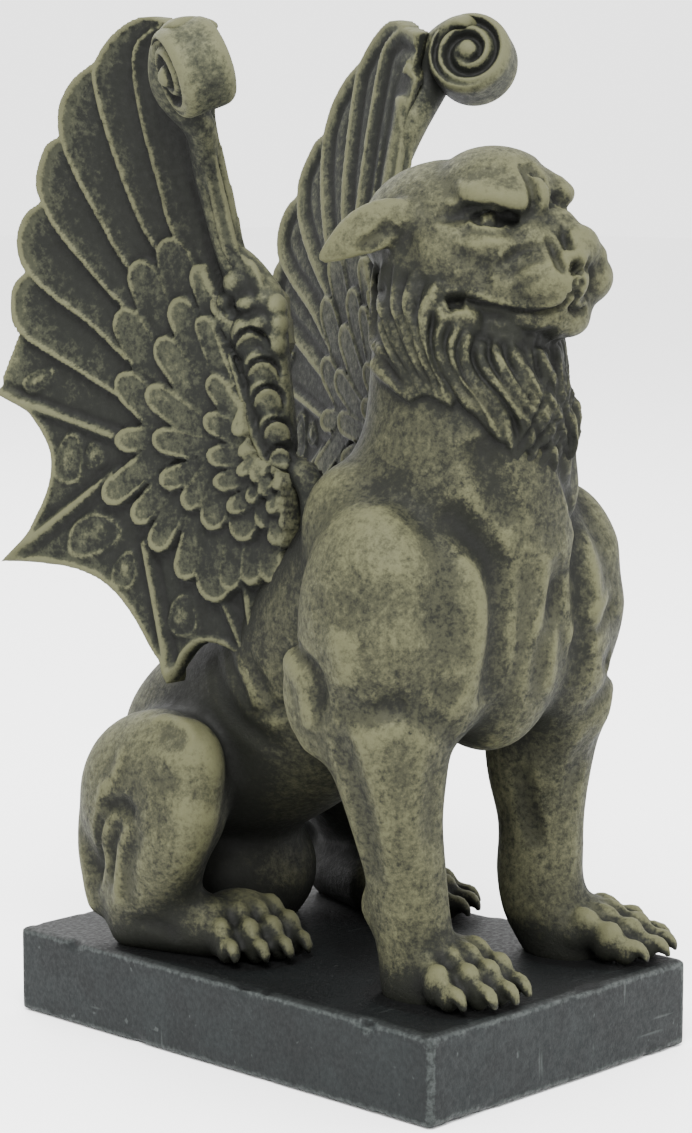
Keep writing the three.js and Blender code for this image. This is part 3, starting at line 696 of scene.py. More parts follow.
cover_rows = [covering(entries) for entries in (
    [(300, 48, 385, 330, 140), (182, 140, 285, 440, 132), (118, 335, 262, 640, 130),
     (108, 600, 290, 805, 125), (95, 868, 270, 850, 100), (52, 1105, 270, 915, 112),
     (172, 1192, 300, 1030, 100), (250, 1306, 345, 1110, 100), (368, 1424, 425, 1150, 100),
     (485, 1512, 510, 1220, 150), (552, 1466, 575, 1240, 100), (635, 1446, 652, 1240, 90),
     (715, 1436, 715, 1260, 95), (812, 1456, 818, 1320, 62)],
    [(428, 156, 500, 390, 100), (345, 290, 480, 665, 118), (276, 450, 470, 765, 118),
     (228, 655, 480, 855, 112), (250, 850, 490, 910, 108), (280, 1032, 410, 985, 98),
     (378, 1136, 490, 975, 96), (476, 1222, 525, 1050, 110), (610, 1270, 612, 1120, 118),
     (816, 1396, 832, 1270, 80)],
    [(508, 278, 570, 410, 90), (452, 358, 528, 610, 84), (486, 600, 590, 780, 92),
     (460, 768, 610, 850, 96), (472, 926, 615, 925, 92), (498, 1036, 630, 1010, 84),
     (556, 1142, 650, 1085, 84), (700, 1218, 712, 1120, 98), (745, 1284, 750, 1180, 70),
     (790, 1304, 795, 1200, 72), (862, 1306, 862, 1200, 76)],
    [(596, 846, 628, 740, 66), (612, 930, 655, 870, 62), (604, 1004, 655, 940, 58),
     (668, 1034, 690, 955, 64), (652, 1116, 665, 1050, 60), (704, 1088, 712, 1020, 62),
     (736, 1158, 745, 1080, 62), (776, 1156, 785, 1070, 66), (790, 1222, 798, 1140, 64),
     (832, 1262, 835, 1180, 66), (752, 1012, 765, 950, 60), (850, 1212, 852, 1120, 86)],
    [(826, 1156, 832, 1080, 60), (850, 1112, 850, 1000, 100), (800, 1100, 805, 1030, 50),
     (760, 1062, 770, 1000, 50)],
)]
print("the covering feathers are", sum(len(row) for row in cover_rows))

# %% [markdown]
# The sheet is cut from plates, one to each feather and one to the web, and pressed to one skin of
# even small faces. A plate is a filled circle whose points are moved onto the outline, thickened.

# %% Plates of the wing
def flat(out, y, z):
    return Vector((out * share, y * share, z * share))

def plate(outline, thickness):
    bpy.ops.mesh.primitive_circle_add(vertices=len(outline), radius=1, fill_type='NGON')
    piece = bpy.context.object
    for vertex, (y, z) in zip(piece.data.vertices, outline):
        vertex.co = flat(0, y, z)
    modifier = piece.modifiers.new("thick", 'SOLIDIFY')
    modifier.thickness = thickness * share
    modifier.offset = 0
    bpy.ops.object.modifier_apply(modifier=modifier.name)
    return piece

def flat_roll(stations, **sizes):
    piece = clay_roll(stations, **sizes)
    piece.data.transform(Matrix.Translation((0, 0, -ground)))
    return piece

sheet_thick = 2.2
arm_line = [(-5, 97), (-2, 86), (10, 83), (30, 88), (41, 104), (39, 130), (33, 152), (24, 162),
            (12, 162), (7, 156), (0, 148), (-1, 138), (4, 126), (3, 116), (-5, 110)]
plates = [plate(outline, sheet_thick) for outline in (*sheets, web_sheet, arm_line)]
shaft_places = [(*on_wing(px, py), wide, deep) for px, py, wide, deep in (
    (240, 300, 3.6, 3.4), (221, 247, 3.2, 2.8), (204, 180, 3.0, 2.6), (195, 121, 3.2, 2.8),
    (190, 95, 3.6, 3.2))]
shaft = [(0.6, *place) for place in shaft_places]
plates.append(flat_roll(shaft, rings=30, sides=24, ends=0.05))
sheet = smoothed(pressed(plates, "right_wing", 0.5 * share), 2, 0.5)
print("the wing's sheet has", len(sheet.data.polygons), "faces")

# %% [markdown]
# The feathers are then carved in relief. For each point of the sheet, a height is worked out from
# the feather that lies on top there: it rises from where it is tucked in to its free edge, which
# has a thin raised rim. This gives cleaner edges than pressing seventy small solids together.

# %% Relief of the outer face
def gap_to(line, y, z):
    line = np.array(line)
    nearest = np.full(len(y), 1e9)
    for (y0, z0), (y1, z1) in zip(line, line[1:]):
        dy, dz = y1 - y0, z1 - z0
        t = np.clip(((y - y0) * dy + (z - z0) * dz) / (dy * dy + dz * dz + 1e-9), 0, 1)
        nearest = np.minimum(nearest, (y - y0 - t * dy) ** 2 + (z - z0 - t * dz) ** 2)
    return np.sqrt(nearest)

def inside(line, y, z):
    crossings = np.zeros(len(y), dtype=bool)
    for (y0, z0), (y1, z1) in zip(line, line[1:] + line[:1]):
        over = (z0 > z) != (z1 > z)
        crossings ^= over & (y < (y1 - y0) * (z - z0) / (z1 - z0 + 1e-12) + y0)
    return crossings

def rim(gap, middle, width, height):
    return height * np.exp(-((gap - middle) / width) ** 2)

def relief(y, z, hollow_vane=False):
    thick = wing_thick(y, z)
    height = thick + 0.1
    web = gap_to(web_line, y, z)
    height += rim(web, 0.9, 0.7, 0.9)
    for tip, root in ribs:
        along = gap_to([tip, root], y, z)
        height += 1.3 * np.exp(-(along / 1.05) ** 2) - 0.35 * np.exp(-((along - 2.2) / 0.8) ** 2)
    for (middle_y, middle_z), (wide, high), turn in blisters:
        c, s = math.cos(math.radians(turn)), math.sin(math.radians(turn))
        a = ((y - middle_y) * c + (z - middle_z) * s) / wide
        b = (-(y - middle_y) * s + (z - middle_z) * c) / high
        q = np.sqrt(a * a + (b + 0.25 * a * a) ** 2)
        height += 0.7 * np.exp(-((q - 1.2) / 0.2) ** 2) + 0.9 * np.clip(1 - q * q, 0, 1) ** 0.7
    for edge, sheet_line in zip(feather_edges, sheets):
        here = inside(sheet_line, y, z)
        own = gap_to(edge, y, z)
        across = np.clip(own / 9.5, 0, 1)
        if hollow_vane:
            vane = thick + 1.5 * (1 - across) ** 0.8 - rim(own, 4.4, 1.3, 0.9) + rim(own, 0.7, 0.6, 0.3)
        else:
            vane = thick + 0.2 + 1.5 * (1 - across) ** 1.5 + rim(own, 0.6, 0.5, 0.45)
            vane += 0.10 * np.sin(own * 2.6) * np.clip(1 - own / 7, 0, 1)
        height = np.where(here, vane, height)
    for row, entries in enumerate(cover_rows):
        for tip, axis, length, width in entries:
            s = (y - tip[0]) * axis[0] + (z - tip[1]) * axis[1]
            r = -(y - tip[0]) * axis[1] + (z - tip[1]) * axis[0]
            end = width * 1.25
            rounded = np.sqrt(np.clip(1 - s / end, 0, None) ** 2 + (r / width) ** 2)
            q = np.where(s < end, rounded, np.abs(r) / width)
            here = (s > 0) & (s < length) & (q < 1)
            edge = (1 - q) * width
            leaf = thick + 0.6 + 0.36 * row + 1.3 * (1 - s / length) + 0.3 * (1 - q * q)
            leaf += rim(edge, 0.55, 0.42, 0.42)
            height = np.where(here, np.maximum(leaf, height - 0.6), height)
    return height

def carve_wing(piece):
    points, normals = points_of(piece), normals_of(piece)
    out, y, z = (points / share).T
    shaft_gap = gap_to([station[1:3] for station in shaft], y, z)
    free = np.clip((shaft_gap - 3.6) / 1.2, 0, 1)
    outer = np.clip((normals[:, 0] - 0.15) / 0.4, 0, 1) * (out > 0) * free
    inner = np.clip((-normals[:, 0] - 0.15) / 0.4, 0, 1) * (out < 0) * free
    target = relief(y, z) * outer - relief(y, z, True) * inner + out * (1 - outer - inner)
    points[:, 0] = target * share
    put_points(piece, points)

carve_wing(sheet)
print("the wing's two faces are carved")

# %% [markdown]
# The sheet is bent to its place beside the body, and what is solid rather than flat is added to it:
# the knuckles and scales stacked up the leading edge, and the scroll at the top.

# %% Bend the sheet
points = points_of(sheet)
out, y, z = (points / share).T
points[:, 0] = -(wing_x(y, z) + out) * share
points[:, 2] += ground
put_points(sheet, points)
sheet.data.flip_normals()
print("the sheet is bent")

# %% [markdown]
# A column of rounded scales runs up the leading edge, each with its top over the one above, with
# knobbly knuckles and a fluted band where the shaft starts. Each entry is a place in the
# photograph's frame and half the width and half the height in millimetres.

# %% Scales of the leading edge
def beside_wing(px, py, out):
    y, z = on_wing(px, py, out, 0)
    return (-(float(wing_x(y, z)) + out), y, z)

def edge_roll(places, out, **sizes):
    return clay_roll([(*beside_wing(px, py, out), wide, wide) for px, py, wide in places], **sizes)

edge_scales = [(251, 345, 4.5, 7.0), (263, 375, 4.5, 6.8), (268, 405, 4.4, 7.0), (277, 437, 4.2, 6.4),
               (282, 459, 3.6, 4.6)]
knobs = [(237, 283, 3.3, 3.6), (225, 303, 2.6, 2.4), (250, 302, 3.6, 2.4), (264, 301, 2.6, 2.6),
         (276, 307, 2.8, 3.0), (232, 322, 2.6, 3.0), (246, 322, 3.0, 2.2), (262, 322, 3.8, 2.6),
         (278, 324, 2.7, 3.2), (276, 342, 2.8, 3.8), (240, 334, 3.0, 3.2)]
knuckles = [clay_ball(beside_wing(px, py, 2.0), (wide * 0.8, wide * 0.94, high), (0, -30, 0), fine=28)
            for px, py, wide, high in edge_scales]
knuckles += [clay_ball(beside_wing(px, py, 2.2), (wide, wide * 0.9, high), (0, -12, 0), fine=20)
             for px, py, wide, high in knobs]
knuckles += [
    edge_roll([(232, 250, 2.2), (246, 264, 2.8), (258, 280, 3.2), (268, 300, 3.8), (270, 330, 4.0),
               (274, 370, 3.8), (280, 420, 3.6), (286, 462, 3.0)], 0.2, rings=44, sides=24, ends=0.06),
    edge_roll([(286, 464, 1.8), (300, 472, 3.0), (311, 488, 3.2), (314, 512, 3.0), (309, 540, 2.2),
               (304, 560, 1.2)], 1.4, rings=36, sides=20, ends=0.08),
    edge_roll([(228, 352, 0.8), (237, 378, 1.0), (247, 411, 1.1), (256, 440, 1.1), (268, 461, 1.2),
               (290, 467, 1.2)], 4.6, rings=36, sides=12, ends=0.05),
]
for i, (x, y) in enumerate(((233, 256), (241, 254), (249, 258))):
    flute = [(x, y, 0.4), (x + 7, y + 13, 0.9), (x + 14, y + 30, 0.9), (x + 20, y + 44, 0.4)]
    knuckles.append(edge_roll(flute, 3.2 - 0.1 * i, rings=20, sides=10, ends=0.05))
print("the leading edge has", len(knuckles), "knuckles and scales")

# %% [markdown]
# The scroll is a thick roll seen edge on from the front, with a spiral ridge and a boss in each of
# its sunk faces. The shaft runs up and over into it. It turns outward as it comes forward.

# %% Scroll
scroll_middle, scroll_radius, scroll_half = (-44.5, 1.7, 197.2), 9.8, 6.5
scroll_turn, scroll_dip = -28, -20
scroll_rim, boss_radius, ridge_pitch, sunk = 1.2, 2.4, 3.7, 2.3

def scroll_masses():
    bpy.ops.mesh.primitive_cylinder_add(vertices=64, radius=scroll_radius * share,
                                        depth=2 * scroll_half * share, rotation=(0, math.pi / 2, 0))
    roll = bpy.context.object
    bpy.ops.object.transform_apply(location=True, rotation=True, scale=True)
    modifier = roll.modifiers.new("round", 'BEVEL')
    modifier.width, modifier.segments = 2.8 * share, 6
    bpy.ops.object.modifier_apply(modifier=modifier.name)
    masses = [roll]
    for face in (1, -1):
        bpy.ops.mesh.primitive_uv_sphere_add(segments=20, ring_count=12, radius=2.3 * share,
                                             location=(face * (scroll_half - 0.6) * share, 0, 0))
        bpy.ops.object.transform_apply(location=True)
        masses.append(bpy.context.object)
    return masses

def scroll_relief(piece):
    """Sinks both faces and leaves a spiral ridge between the boss and the rim."""
    points = points_of(piece)
    x, y, z = (points / share).T
    radius, angle = np.hypot(y, z), np.arctan2(z, -y)
    from_rim = scroll_radius - scroll_rim - radius
    face = (np.abs(x) > scroll_half - scroll_rim) & (from_rim > 0)
    turn = (radius - 2.6) / ridge_pitch - (angle + math.pi) / (2 * math.pi)
    off_ridge = np.abs(turn - np.round(turn)) * ridge_pitch
    depth = np.clip(off_ridge / 1.5, 0, 1) ** 1.5 * sunk * (radius > boss_radius)
    depth *= np.clip(from_rim / 0.8, 0, 1)
    x = np.where(face, np.sign(x) * (np.abs(x) - depth), x)
    points[:, 0] = x * share
    put_points(piece, points)

scroll = smoothed(pressed(scroll_masses(), "scroll", 0.5 * share), 2, 0.5)
scroll_relief(scroll)
smoothed(scroll, 2, 0.5)
scroll.data.transform(Matrix.Translation(at(*scroll_middle))
                      @ Matrix.Rotation(math.radians(scroll_turn), 4, 'Z')
                      @ Matrix.Rotation(math.radians(scroll_dip), 4, 'Y'))
neck = [
    clay_roll([(*beside_wing(214, 196, 0.6), 2.4, 2.4), (*beside_wing(206, 160, 1.4), 2.8, 2.8),
               (*beside_wing(199, 126, 3.0), 3.6, 3.6), (-40.4, 12, 193, 4.8, 5.0),
               (-42.8, 9.6, 200, 5.8, 4.6), (-44.2, 4.6, 204.8, 6.3, 2.8), (-44.8, 0, 206, 6.4, 1.8)],
              rings=56, sides=32, ends=0.04),
]
for out, welt in ((2.6, [(213, 150, 0.5), (223, 196, 0.8), (234, 244, 0.9), (244, 268, 0.5)]),
                  (3.4, [(203, 150, 0.5), (213, 196, 0.8), (224, 244, 0.9), (232, 266, 0.5)])):
    neck.append(edge_roll(welt, out, rings=30, sides=12, ends=0.05))
print("the scroll has", len(scroll.data.polygons), "faces")

# %% [markdown]
# The solid pieces are pressed together on their own and joined to the carved sheet without pressing
# it again, which would blur the feathers. A dark arc is cut over each scale and a ridge is raised
# along its edge. The left wing is the right one mirrored, but its upper edge and its scroll stand
# a little higher and further in, as the photograph shows.

# %% The two wings
def arc(px, py, wide, high):
    """Places over the top of an oval, a little past its two sides."""
    turns = np.linspace(math.pi * 1.02, -0.02 * math.pi, 9)
    return [(px + wide * math.cos(a), py - high * math.sin(a)) for a in turns]

solid_parts = smoothed(pressed(knuckles + neck, "wing_edge", 0.5 * share), 4, 0.5)
for name, width, height, ovals in (
    ("over a scale", 0.95, -1.3, ((263, 376, 17, 17), (268, 404, 16, 18), (277, 436, 15, 17),
                                  (280, 460, 13, 14), (251, 348, 17, 18))),
    ("edge of a scale", 0.9, 0.7, ((263, 379, 14, 15), (268, 407, 13, 16), (277, 439, 12, 15),
                                   (280, 462, 10, 12), (251, 351, 14, 16))),
):
    strokes([solid_parts], [(name, arc(*oval), width, height) for oval in ovals], copied=False)

left_parts = [mirrored(piece) for piece in (sheet, scroll, solid_parts)]
left_scroll = left_parts[1]
higher, rise_from, rise_over = Vector((-1.2, -0.4, 2.8)) * share, 178, 20
for piece, reach in zip(left_parts, (0.35, 1, 0.9)):
    for vertex in piece.data.vertices:
        risen = ((vertex.co.z - ground) / share - rise_from) / rise_over
        vertex.co += higher * (1 if piece is left_scroll else min(max(risen, 0), 1) * reach)

right_wing = joined([sheet, scroll, solid_parts], "right_wing")
left_wing = joined(left_parts, "left_wing")
print("each wing has", len(right_wing.data.polygons), "faces")

# %% [markdown]
# The plinth is a plain slab. Its edges are worn round, with small chips, and its faces are a little
# uneven, as split slate is.

# %% Plinth
size = plinth_high - plinth_low
bpy.ops.mesh.primitive_cube_add(size=1, location=(plinth_low + plinth_high) / 2, scale=size)
slab = bpy.context.object
bpy.ops.object.transform_apply(location=True, rotation=True, scale=True)
modifier = slab.modifiers.new("round", 'BEVEL')
modifier.width, modifier.segments = 1.1 * mm, 3
bpy.ops.object.modifier_apply(modifier=modifier.name)
plinth = pressed([slab], "plinth_stone", 0.8 * mm)
chip_reach, chip_depth, unevenness = 2.6, 3.6, 0.14
points, normals = points_of(plinth), normals_of(plinth)
to_edge = np.sort(np.minimum(points - np.array(plinth_low), np.array(plinth_high) - points), axis=1)[:, 1]
for i, point in enumerate(points):
    spot = Vector(point) / mm
    chip = max(noise.noise(spot * 0.13) - 0.3, 0) * max(1 - to_edge[i] / (chip_reach * mm), 0)
    uneven = 0.5 + 0.5 * noise.noise(spot * 0.06 + Vector((9, 2, 4)))
    uneven += 0.25 * noise.noise(spot * Vector((0.5, 0.5, 1.4)))
    points[i] -= normals[i] * mm * (chip_depth * chip + unevenness * max(uneven, 0))
put_points(plinth, points)
print("the plinth has", len(plinth.data.polygons), "faces")

# %% [markdown]
# Old casts are dark in the hollows and rubbed pale on what stands proud; the broad hollows are
# darkened further still, which paints in the shade of the folds. To find both, each point is
# compared with its neighbours after they have been averaged a few times, for fine relief, and many
# times, for broad form. The result is kept on the mesh as two named values. For each piece, the
# heights in millimetres that count as fully proud and fully deep are given, then the rounds.

# %% High and low ground
def averaged(piece, values, rounds):
    edges = np.empty(len(piece.data.edges) * 2, dtype=np.int64)
    piece.data.edges.foreach_get("vertices", edges)
    first, second = edges.reshape(-1, 2).T
    count = len(values)
    shares = np.bincount(first, minlength=count) + np.bincount(second, minlength=count) + 1e-9
    for _ in range(rounds):
        values = np.stack([(np.bincount(first, column[second], count)
                            + np.bincount(second, column[first], count)) / shares
                           for column in values.T], axis=1)
    return values

def stored(piece, name, values):
    value = piece.data.attributes.new(name, 'FLOAT', 'POINT')
    value.data.foreach_set("value", np.ascontiguousarray(values, dtype=np.float32))

def range_of(values):
    return [round(float(v), 2) for v in np.percentile(values, (5, 50, 95))]

def find_ground(piece, fine, broad, fine_rounds, broad_rounds):
    points, normals = points_of(piece), normals_of(piece)
    near = averaged(piece, points, fine_rounds)
    wide = averaged(piece, near, broad_rounds)
    proud = ((points - near) * normals).sum(1) / mm
    deep = ((wide - points) * normals).sum(1) / mm
    proud = averaged(piece, proud[:, None], 1)[:, 0]
    stored(piece, "proud", np.clip(0.5 + 0.5 * proud / fine, 0, 1))
    stored(piece, "deep", np.clip(0.5 + 0.5 * deep / broad, 0, 1))
    return range_of(proud) + range_of(deep)

pieces = [body, beast_head, right_wing, left_wing, plinth]
grounds = ((0.4, 3.2, 7, 90), (0.3, 2.2, 8, 120), (0.2, 0.9, 4, 45), (0.2, 0.9, 4, 45),
           (0.12, 0.5, 4, 45))
for piece, ground_sizes in zip(pieces, grounds):
    print(piece.name, "stands proud and deep by", find_ground(piece, *ground_sizes))

# %% [markdown]
# Shade is painted into the colour where a place is hemmed in, such as under the belly and between
# wing and neck. How crowded the space in front of each point is comes from a coarse grid that all
# the skin is counted into by its area, and that is then blurred, once over a short reach and once
# over a long one. Open, flat skin gives nearly nothing. The body's neck isn't counted where the
# head's own skin hides it. The feet and the grooves of the mane get more painted shade than the
# grid finds.

# %% Sheltered places
def areas_of(piece):
    faces = piece.data.polygons
    area, corners = np.empty(len(faces)), np.empty(len(faces), dtype=np.int64)
    faces.foreach_get("area", area)
    faces.foreach_get("loop_total", corners)
    places = np.empty(len(piece.data.loops), dtype=np.int64)
    piece.data.loops.foreach_get("vertex_index", places)
    return np.bincount(places, np.repeat(area / corners, corners), len(piece.data.vertices))

hidden_neck_from, space_around = 116, 40
foot_painted_shade, foot_high, mane_painted_shade, mane_reach = 1.7, 9, 0.85, 1.6

def find_shelter(pieces, cell=2.0):
    low = np.array(plinth_low) / mm - space_around
    high = np.array(figure_high) / mm + space_around
    shape = ((high - low) / cell).astype(int) + 1
    crowd = np.zeros(shape)
    for piece in pieces:
        places = ((points_of(piece) / mm - low) / cell).astype(int)
        area = areas_of(piece) / mm ** 2
        if piece is body:
            area[points_of(piece)[:, 2] - ground > hidden_neck_from * mm] = 0
        np.add.at(crowd, tuple(places.T), area)
    waves = np.meshgrid(*(np.fft.fftfreq(n) for n in shape[:2]), np.fft.rfftfreq(shape[2]), indexing='ij')
    far_off = sum(w ** 2 for w in waves)
    spread_out = np.fft.rfftn(crowd)
    for name, reach, open_share, full_share in (("painted_near_shade", 7, 0.15, 2.4), ("shaded", 17, 0.8, 3.0)):
        softened = spread_out * np.exp(-2 * (math.pi * reach / cell) ** 2 * far_off)
        blurred = np.fft.irfftn(softened, shape) / cell ** 3
        open_skin = math.exp(-0.5) / (math.sqrt(2 * math.pi) * reach)
        for piece in pieces:
            ahead = points_of(piece) / mm + normals_of(piece) * reach
            places = np.clip(((ahead - low) / cell).astype(int), 0, shape - 1)
            value = averaged(piece, (blurred[tuple(places.T)] / open_skin - 1)[:, None], 3)[:, 0]
            # Skin low on the feet, near the plinth, gets more painted shade.
            if piece is body and name == "painted_near_shade":
                above = (points_of(piece)[:, 2] - ground) / mm
                value += foot_painted_shade * np.clip(1 - above / foot_high, 0, 1)
            # The mane and the grooves between its locks get more painted shade.
            if piece is beast_head and name == "painted_near_shade":
                to_mane = np.array([mane_skin.find_nearest(v.co)[3] for v in piece.data.vertices]) / mm
                value += mane_painted_shade * np.exp(-(to_mane / mane_reach) ** 2)
            stored(piece, name, np.clip((value - open_share) / full_share, 0, 1))
            print(piece.name, "is", name, "by", range_of(value))

find_shelter(pieces)

# %% [markdown]
# Both materials start from shared node groups. A group only puts out colours, masks and values,
# and what never changes is set straight on the shader. Patterns sit on the object's own
# coordinates, so they turn with it.

# %% Patina group
def new_group(name, ins, outs):
    group = bpy.data.node_groups.new(name, 'ShaderNodeTree')
    for title, kind, value in ins:
        socket = group.interface.new_socket(name=title, in_out='INPUT', socket_type=kind)
        socket.default_value = value
    for title, kind in outs:
        group.interface.new_socket(name=title, in_out='OUTPUT', socket_type=kind)
    return group, group.nodes.new('NodeGroupInput'), group.nodes.new('NodeGroupOutput')

class Maker:
    """Short ways to add the few kinds of nodes that the materials need."""

    def __init__(self, tree):
        self.tree = tree

    def join(self, value, socket):
        if isinstance(value, bpy.types.NodeSocket):
            self.tree.links.new(value, socket)
        else:
            socket.default_value = value

    def place(self):
        return self.tree.nodes.new('ShaderNodeTexCoord').outputs['Object']

    def kept(self, name):
        node = self.tree.nodes.new('ShaderNodeAttribute')
        node.attribute_name = name
        return node.outputs['Fac']

    def grain(self, place, scale, detail=4.0, roughness=0.6, warp=0.0):
        node = self.tree.nodes.new('ShaderNodeTexNoise')
        self.tree.links.new(place, node.inputs['Vector'])
        node.inputs['Scale'].default_value = scale
        node.inputs['Detail'].default_value = detail
        node.inputs['Roughness'].default_value = roughness
        node.inputs['Distortion'].default_value = warp
        return node.outputs['Fac']

    def sums(self, kind, first, second, third=None):
        node = self.tree.nodes.new('ShaderNodeMath')
        node.operation = kind
        for i, value in enumerate((first, second, third)):
            if value is not None:
                self.join(value, node.inputs[i])
        return node.outputs[0]

    def swing(self, value, amount):
        """The value less one half, times the amount."""
        return self.sums('MULTIPLY_ADD', value, amount, -amount / 2)

    def between(self, value, low, high, to_low=0.0, to_high=1.0):
        node = self.tree.nodes.new('ShaderNodeMapRange')
        node.interpolation_type = 'SMOOTHSTEP'
        titles = ('Value', 'From Min', 'From Max', 'To Min', 'To Max')
        for title, given in zip(titles, (value, low, high, to_low, to_high)):
            self.join(given, node.inputs[title])
        return node.outputs['Result']

    def blend(self, amount, first, second):
        node = self.tree.nodes.new('ShaderNodeMix')
        node.data_type = 'RGBA'
        self.join(amount, node.inputs['Factor'])
        self.join(first, node.inputs[6])
        self.join(second, node.inputs[7])
        return node.outputs[2]

puts_out = (("colour", 'NodeSocketColor'), ("roughness", 'NodeSocketFloat'),
            ("height", 'NodeSocketFloat'))
wash_and_shade_black = (0.0025, 0.0027, 0.002, 1)

def patina_group():
    group, given, result = new_group("patina", (
        ("dark", 'NodeSocketColor', (0.02, 0.02, 0.015, 1)),
        ("middle", 'NodeSocketColor', (0.08, 0.075, 0.045, 1)),
        ("rubbed", 'NodeSocketColor', (0.3, 0.27, 0.15, 1)),
        ("wear", 'NodeSocketFloat', 0.5), ("worn ridges", 'NodeSocketFloat', 1.0),
    ), puts_out)
    make = Maker(group)
    place = make.place()
    speckle = make.grain(place, 1500, 2, 0.7)
    grit = make.grain(place, 620, 5, 0.72)
    blotch = make.grain(place, 170, 6, 0.66, 0.6)
    cloud = make.grain(place, 40, 4, 0.6)
    proud, deep = make.kept("proud"), make.kept("deep")
    painted_near_shade = make.kept("painted_near_shade")
    # Skin that faces up is made paler and skin that faces down darker: painted light from above.
    painted_light_from_above = group.nodes.new('ShaderNodeSeparateXYZ')
    turned_normal = group.nodes.new('ShaderNodeTexCoord').outputs['Normal']
    group.links.new(turned_normal, painted_light_from_above.inputs[0])
    tone = make.sums('MULTIPLY_ADD', painted_light_from_above.outputs['Z'], 0.28, given.outputs["wear"])
    # The broad hollows darken the tone: the dark of the cast's hollows, pushed further to paint in the
    # shade of the folds.
    for part, amount in ((blotch, 0.9), (cloud, 0.6), (grit, 2.1), (speckle, 0.9), (deep, -1.3)):
        tone = make.sums('ADD', tone, make.swing(part, amount))
    # Hemmed-in places are darkened: painted shade.
    tone = make.sums('SUBTRACT', tone, make.sums('MULTIPLY', painted_near_shade, 1.1))
    colour = make.blend(make.between(tone, 0.05, 0.62), given.outputs["dark"], given.outputs["middle"])
    ridge = make.sums('MULTIPLY', make.swing(proud, 2.0), given.outputs["worn ridges"])
    # The rubbed khaki goes on the ridges, which is real wear, and where the tone is high, which holds the
    # painted light from above and the painted shade.
    rub_and_painted_light = make.sums('ADD', tone, ridge)
    colour = make.blend(make.between(rub_and_painted_light, 0.5, 1.45, 0.0, 0.95), colour, given.outputs["rubbed"])
    # Hollows and hemmed-in places are blended towards black: the dark wash of the cast's hollows together
    # with painted shade.
    hollow = make.sums('MULTIPLY_ADD', ridge, -0.7, make.swing(deep, 1.2))
    wash_and_painted_shade = make.between(make.sums('MULTIPLY_ADD', painted_near_shade, 1.0, hollow), 0.25, 1.1, 0.0, 0.9)
    colour = make.blend(wash_and_painted_shade, colour, wash_and_shade_black)
    # Places crowded over a long reach are blended towards black as well: painted shade.
    colour = make.blend(make.sums('MULTIPLY', make.kept("shaded"), 0.75), colour, wash_and_shade_black)
    group.links.new(colour, result.inputs["colour"])
    group.links.new(make.between(grit, 0.3, 0.75, 0.78, 0.6), result.inputs["roughness"])
    group.links.new(make.sums('MULTIPLY_ADD', speckle, 0.5, grit), result.inputs["height"])
    return group

patina = patina_group()
print("the patina group has", len(patina.nodes), "nodes")

# %% [markdown]
# The slate of the plinth is dark grey-green with faint blotches, thin pale scratches and pale worn
# edges. Scratches are a noise stretched very long, of which only the peaks are kept: each entry is
# how the noise is turned and how fine it is each way.

# %% Slate group
def slate_group():
    group, given, result = new_group("slate", (("worn", 'NodeSocketFloat', 1.0),), puts_out)
    make = Maker(group)
    place = make.place()
    grit = make.grain(place, 900, 3, 0.7)
    blotch = make.grain(place, 70, 6, 0.65, 0.4)
    streaks = []
    for turn, scale in (((0.3, 0.25, 0.35), (30, 420, 420)), ((0.9, -0.4, 1.3), (420, 40, 300)),
                        ((0.2, 1.0, -0.5), (340, 380, 36))):
        node = group.nodes.new('ShaderNodeMapping')
        group.links.new(place, node.inputs['Vector'])
        node.inputs['Rotation'].default_value = turn
        node.inputs['Scale'].default_value = scale
        streaks.append(make.between(make.grain(node.outputs[0], 1.0, 2, 0.5), 0.70, 0.78))
    scratch = make.sums('MAXIMUM', make.sums('MAXIMUM', streaks[0], streaks[1]), streaks[2])
    proud = make.kept("proud")
    tone = make.sums('ADD', make.swing(blotch, 1.2), make.sums('MULTIPLY_ADD', grit, 0.5, 0.25))
    slate_dark, slate_pale = (0.0022, 0.0031, 0.0031, 1), (0.0062, 0.0085, 0.0085, 1)
    colour = make.blend(make.between(tone, 0.2, 0.95), slate_dark, slate_pale)
    edge = make.between(make.sums('MULTIPLY_ADD', grit, 0.7, proud), 1.15, 1.6)
    pale = make.sums('MAXIMUM', edge, make.sums('MULTIPLY', scratch, 0.6))
    colour = make.blend(make.sums('MULTIPLY', pale, given.outputs["worn"]), colour,
                        (0.033, 0.038, 0.036, 1))
    # The top near the figure and the hemmed-in places are blended towards near-black: stain with painted
    # shadow, and painted shade.
    stain_and_painted_shade = make.sums('MAXIMUM', make.kept("stain_and_painted_shadow"), make.between(make.kept("painted_near_shade"), 0.1, 0.6))
    colour = make.blend(stain_and_painted_shade, colour, (0.0008, 0.0009, 0.0009, 1))
    group.links.new(colour, result.inputs["colour"])
    group.links.new(make.between(grit, 0.3, 0.7, 0.66, 0.48), result.inputs["roughness"])
    group.links.new(make.sums('MULTIPLY_ADD', scratch, -0.5, grit), result.inputs["height"])
    return group

slate = slate_group()
print("the slate group has", len(slate.nodes), "nodes")

# %% [markdown]
# Each material is one group, one bump and one shader. The body is a dark olive that is rubbed to a
# paler khaki. The wings are a little cooler, and more of their rub lies on the ridges. Both are
# paler where they face up, as painted light from above, and darker in hemmed-in places, as painted
# shade. The plinth's top is darkened all over, and most where the paws and the haunches stand, as
# stain with painted shadow: each entry there is a place and its two sizes.

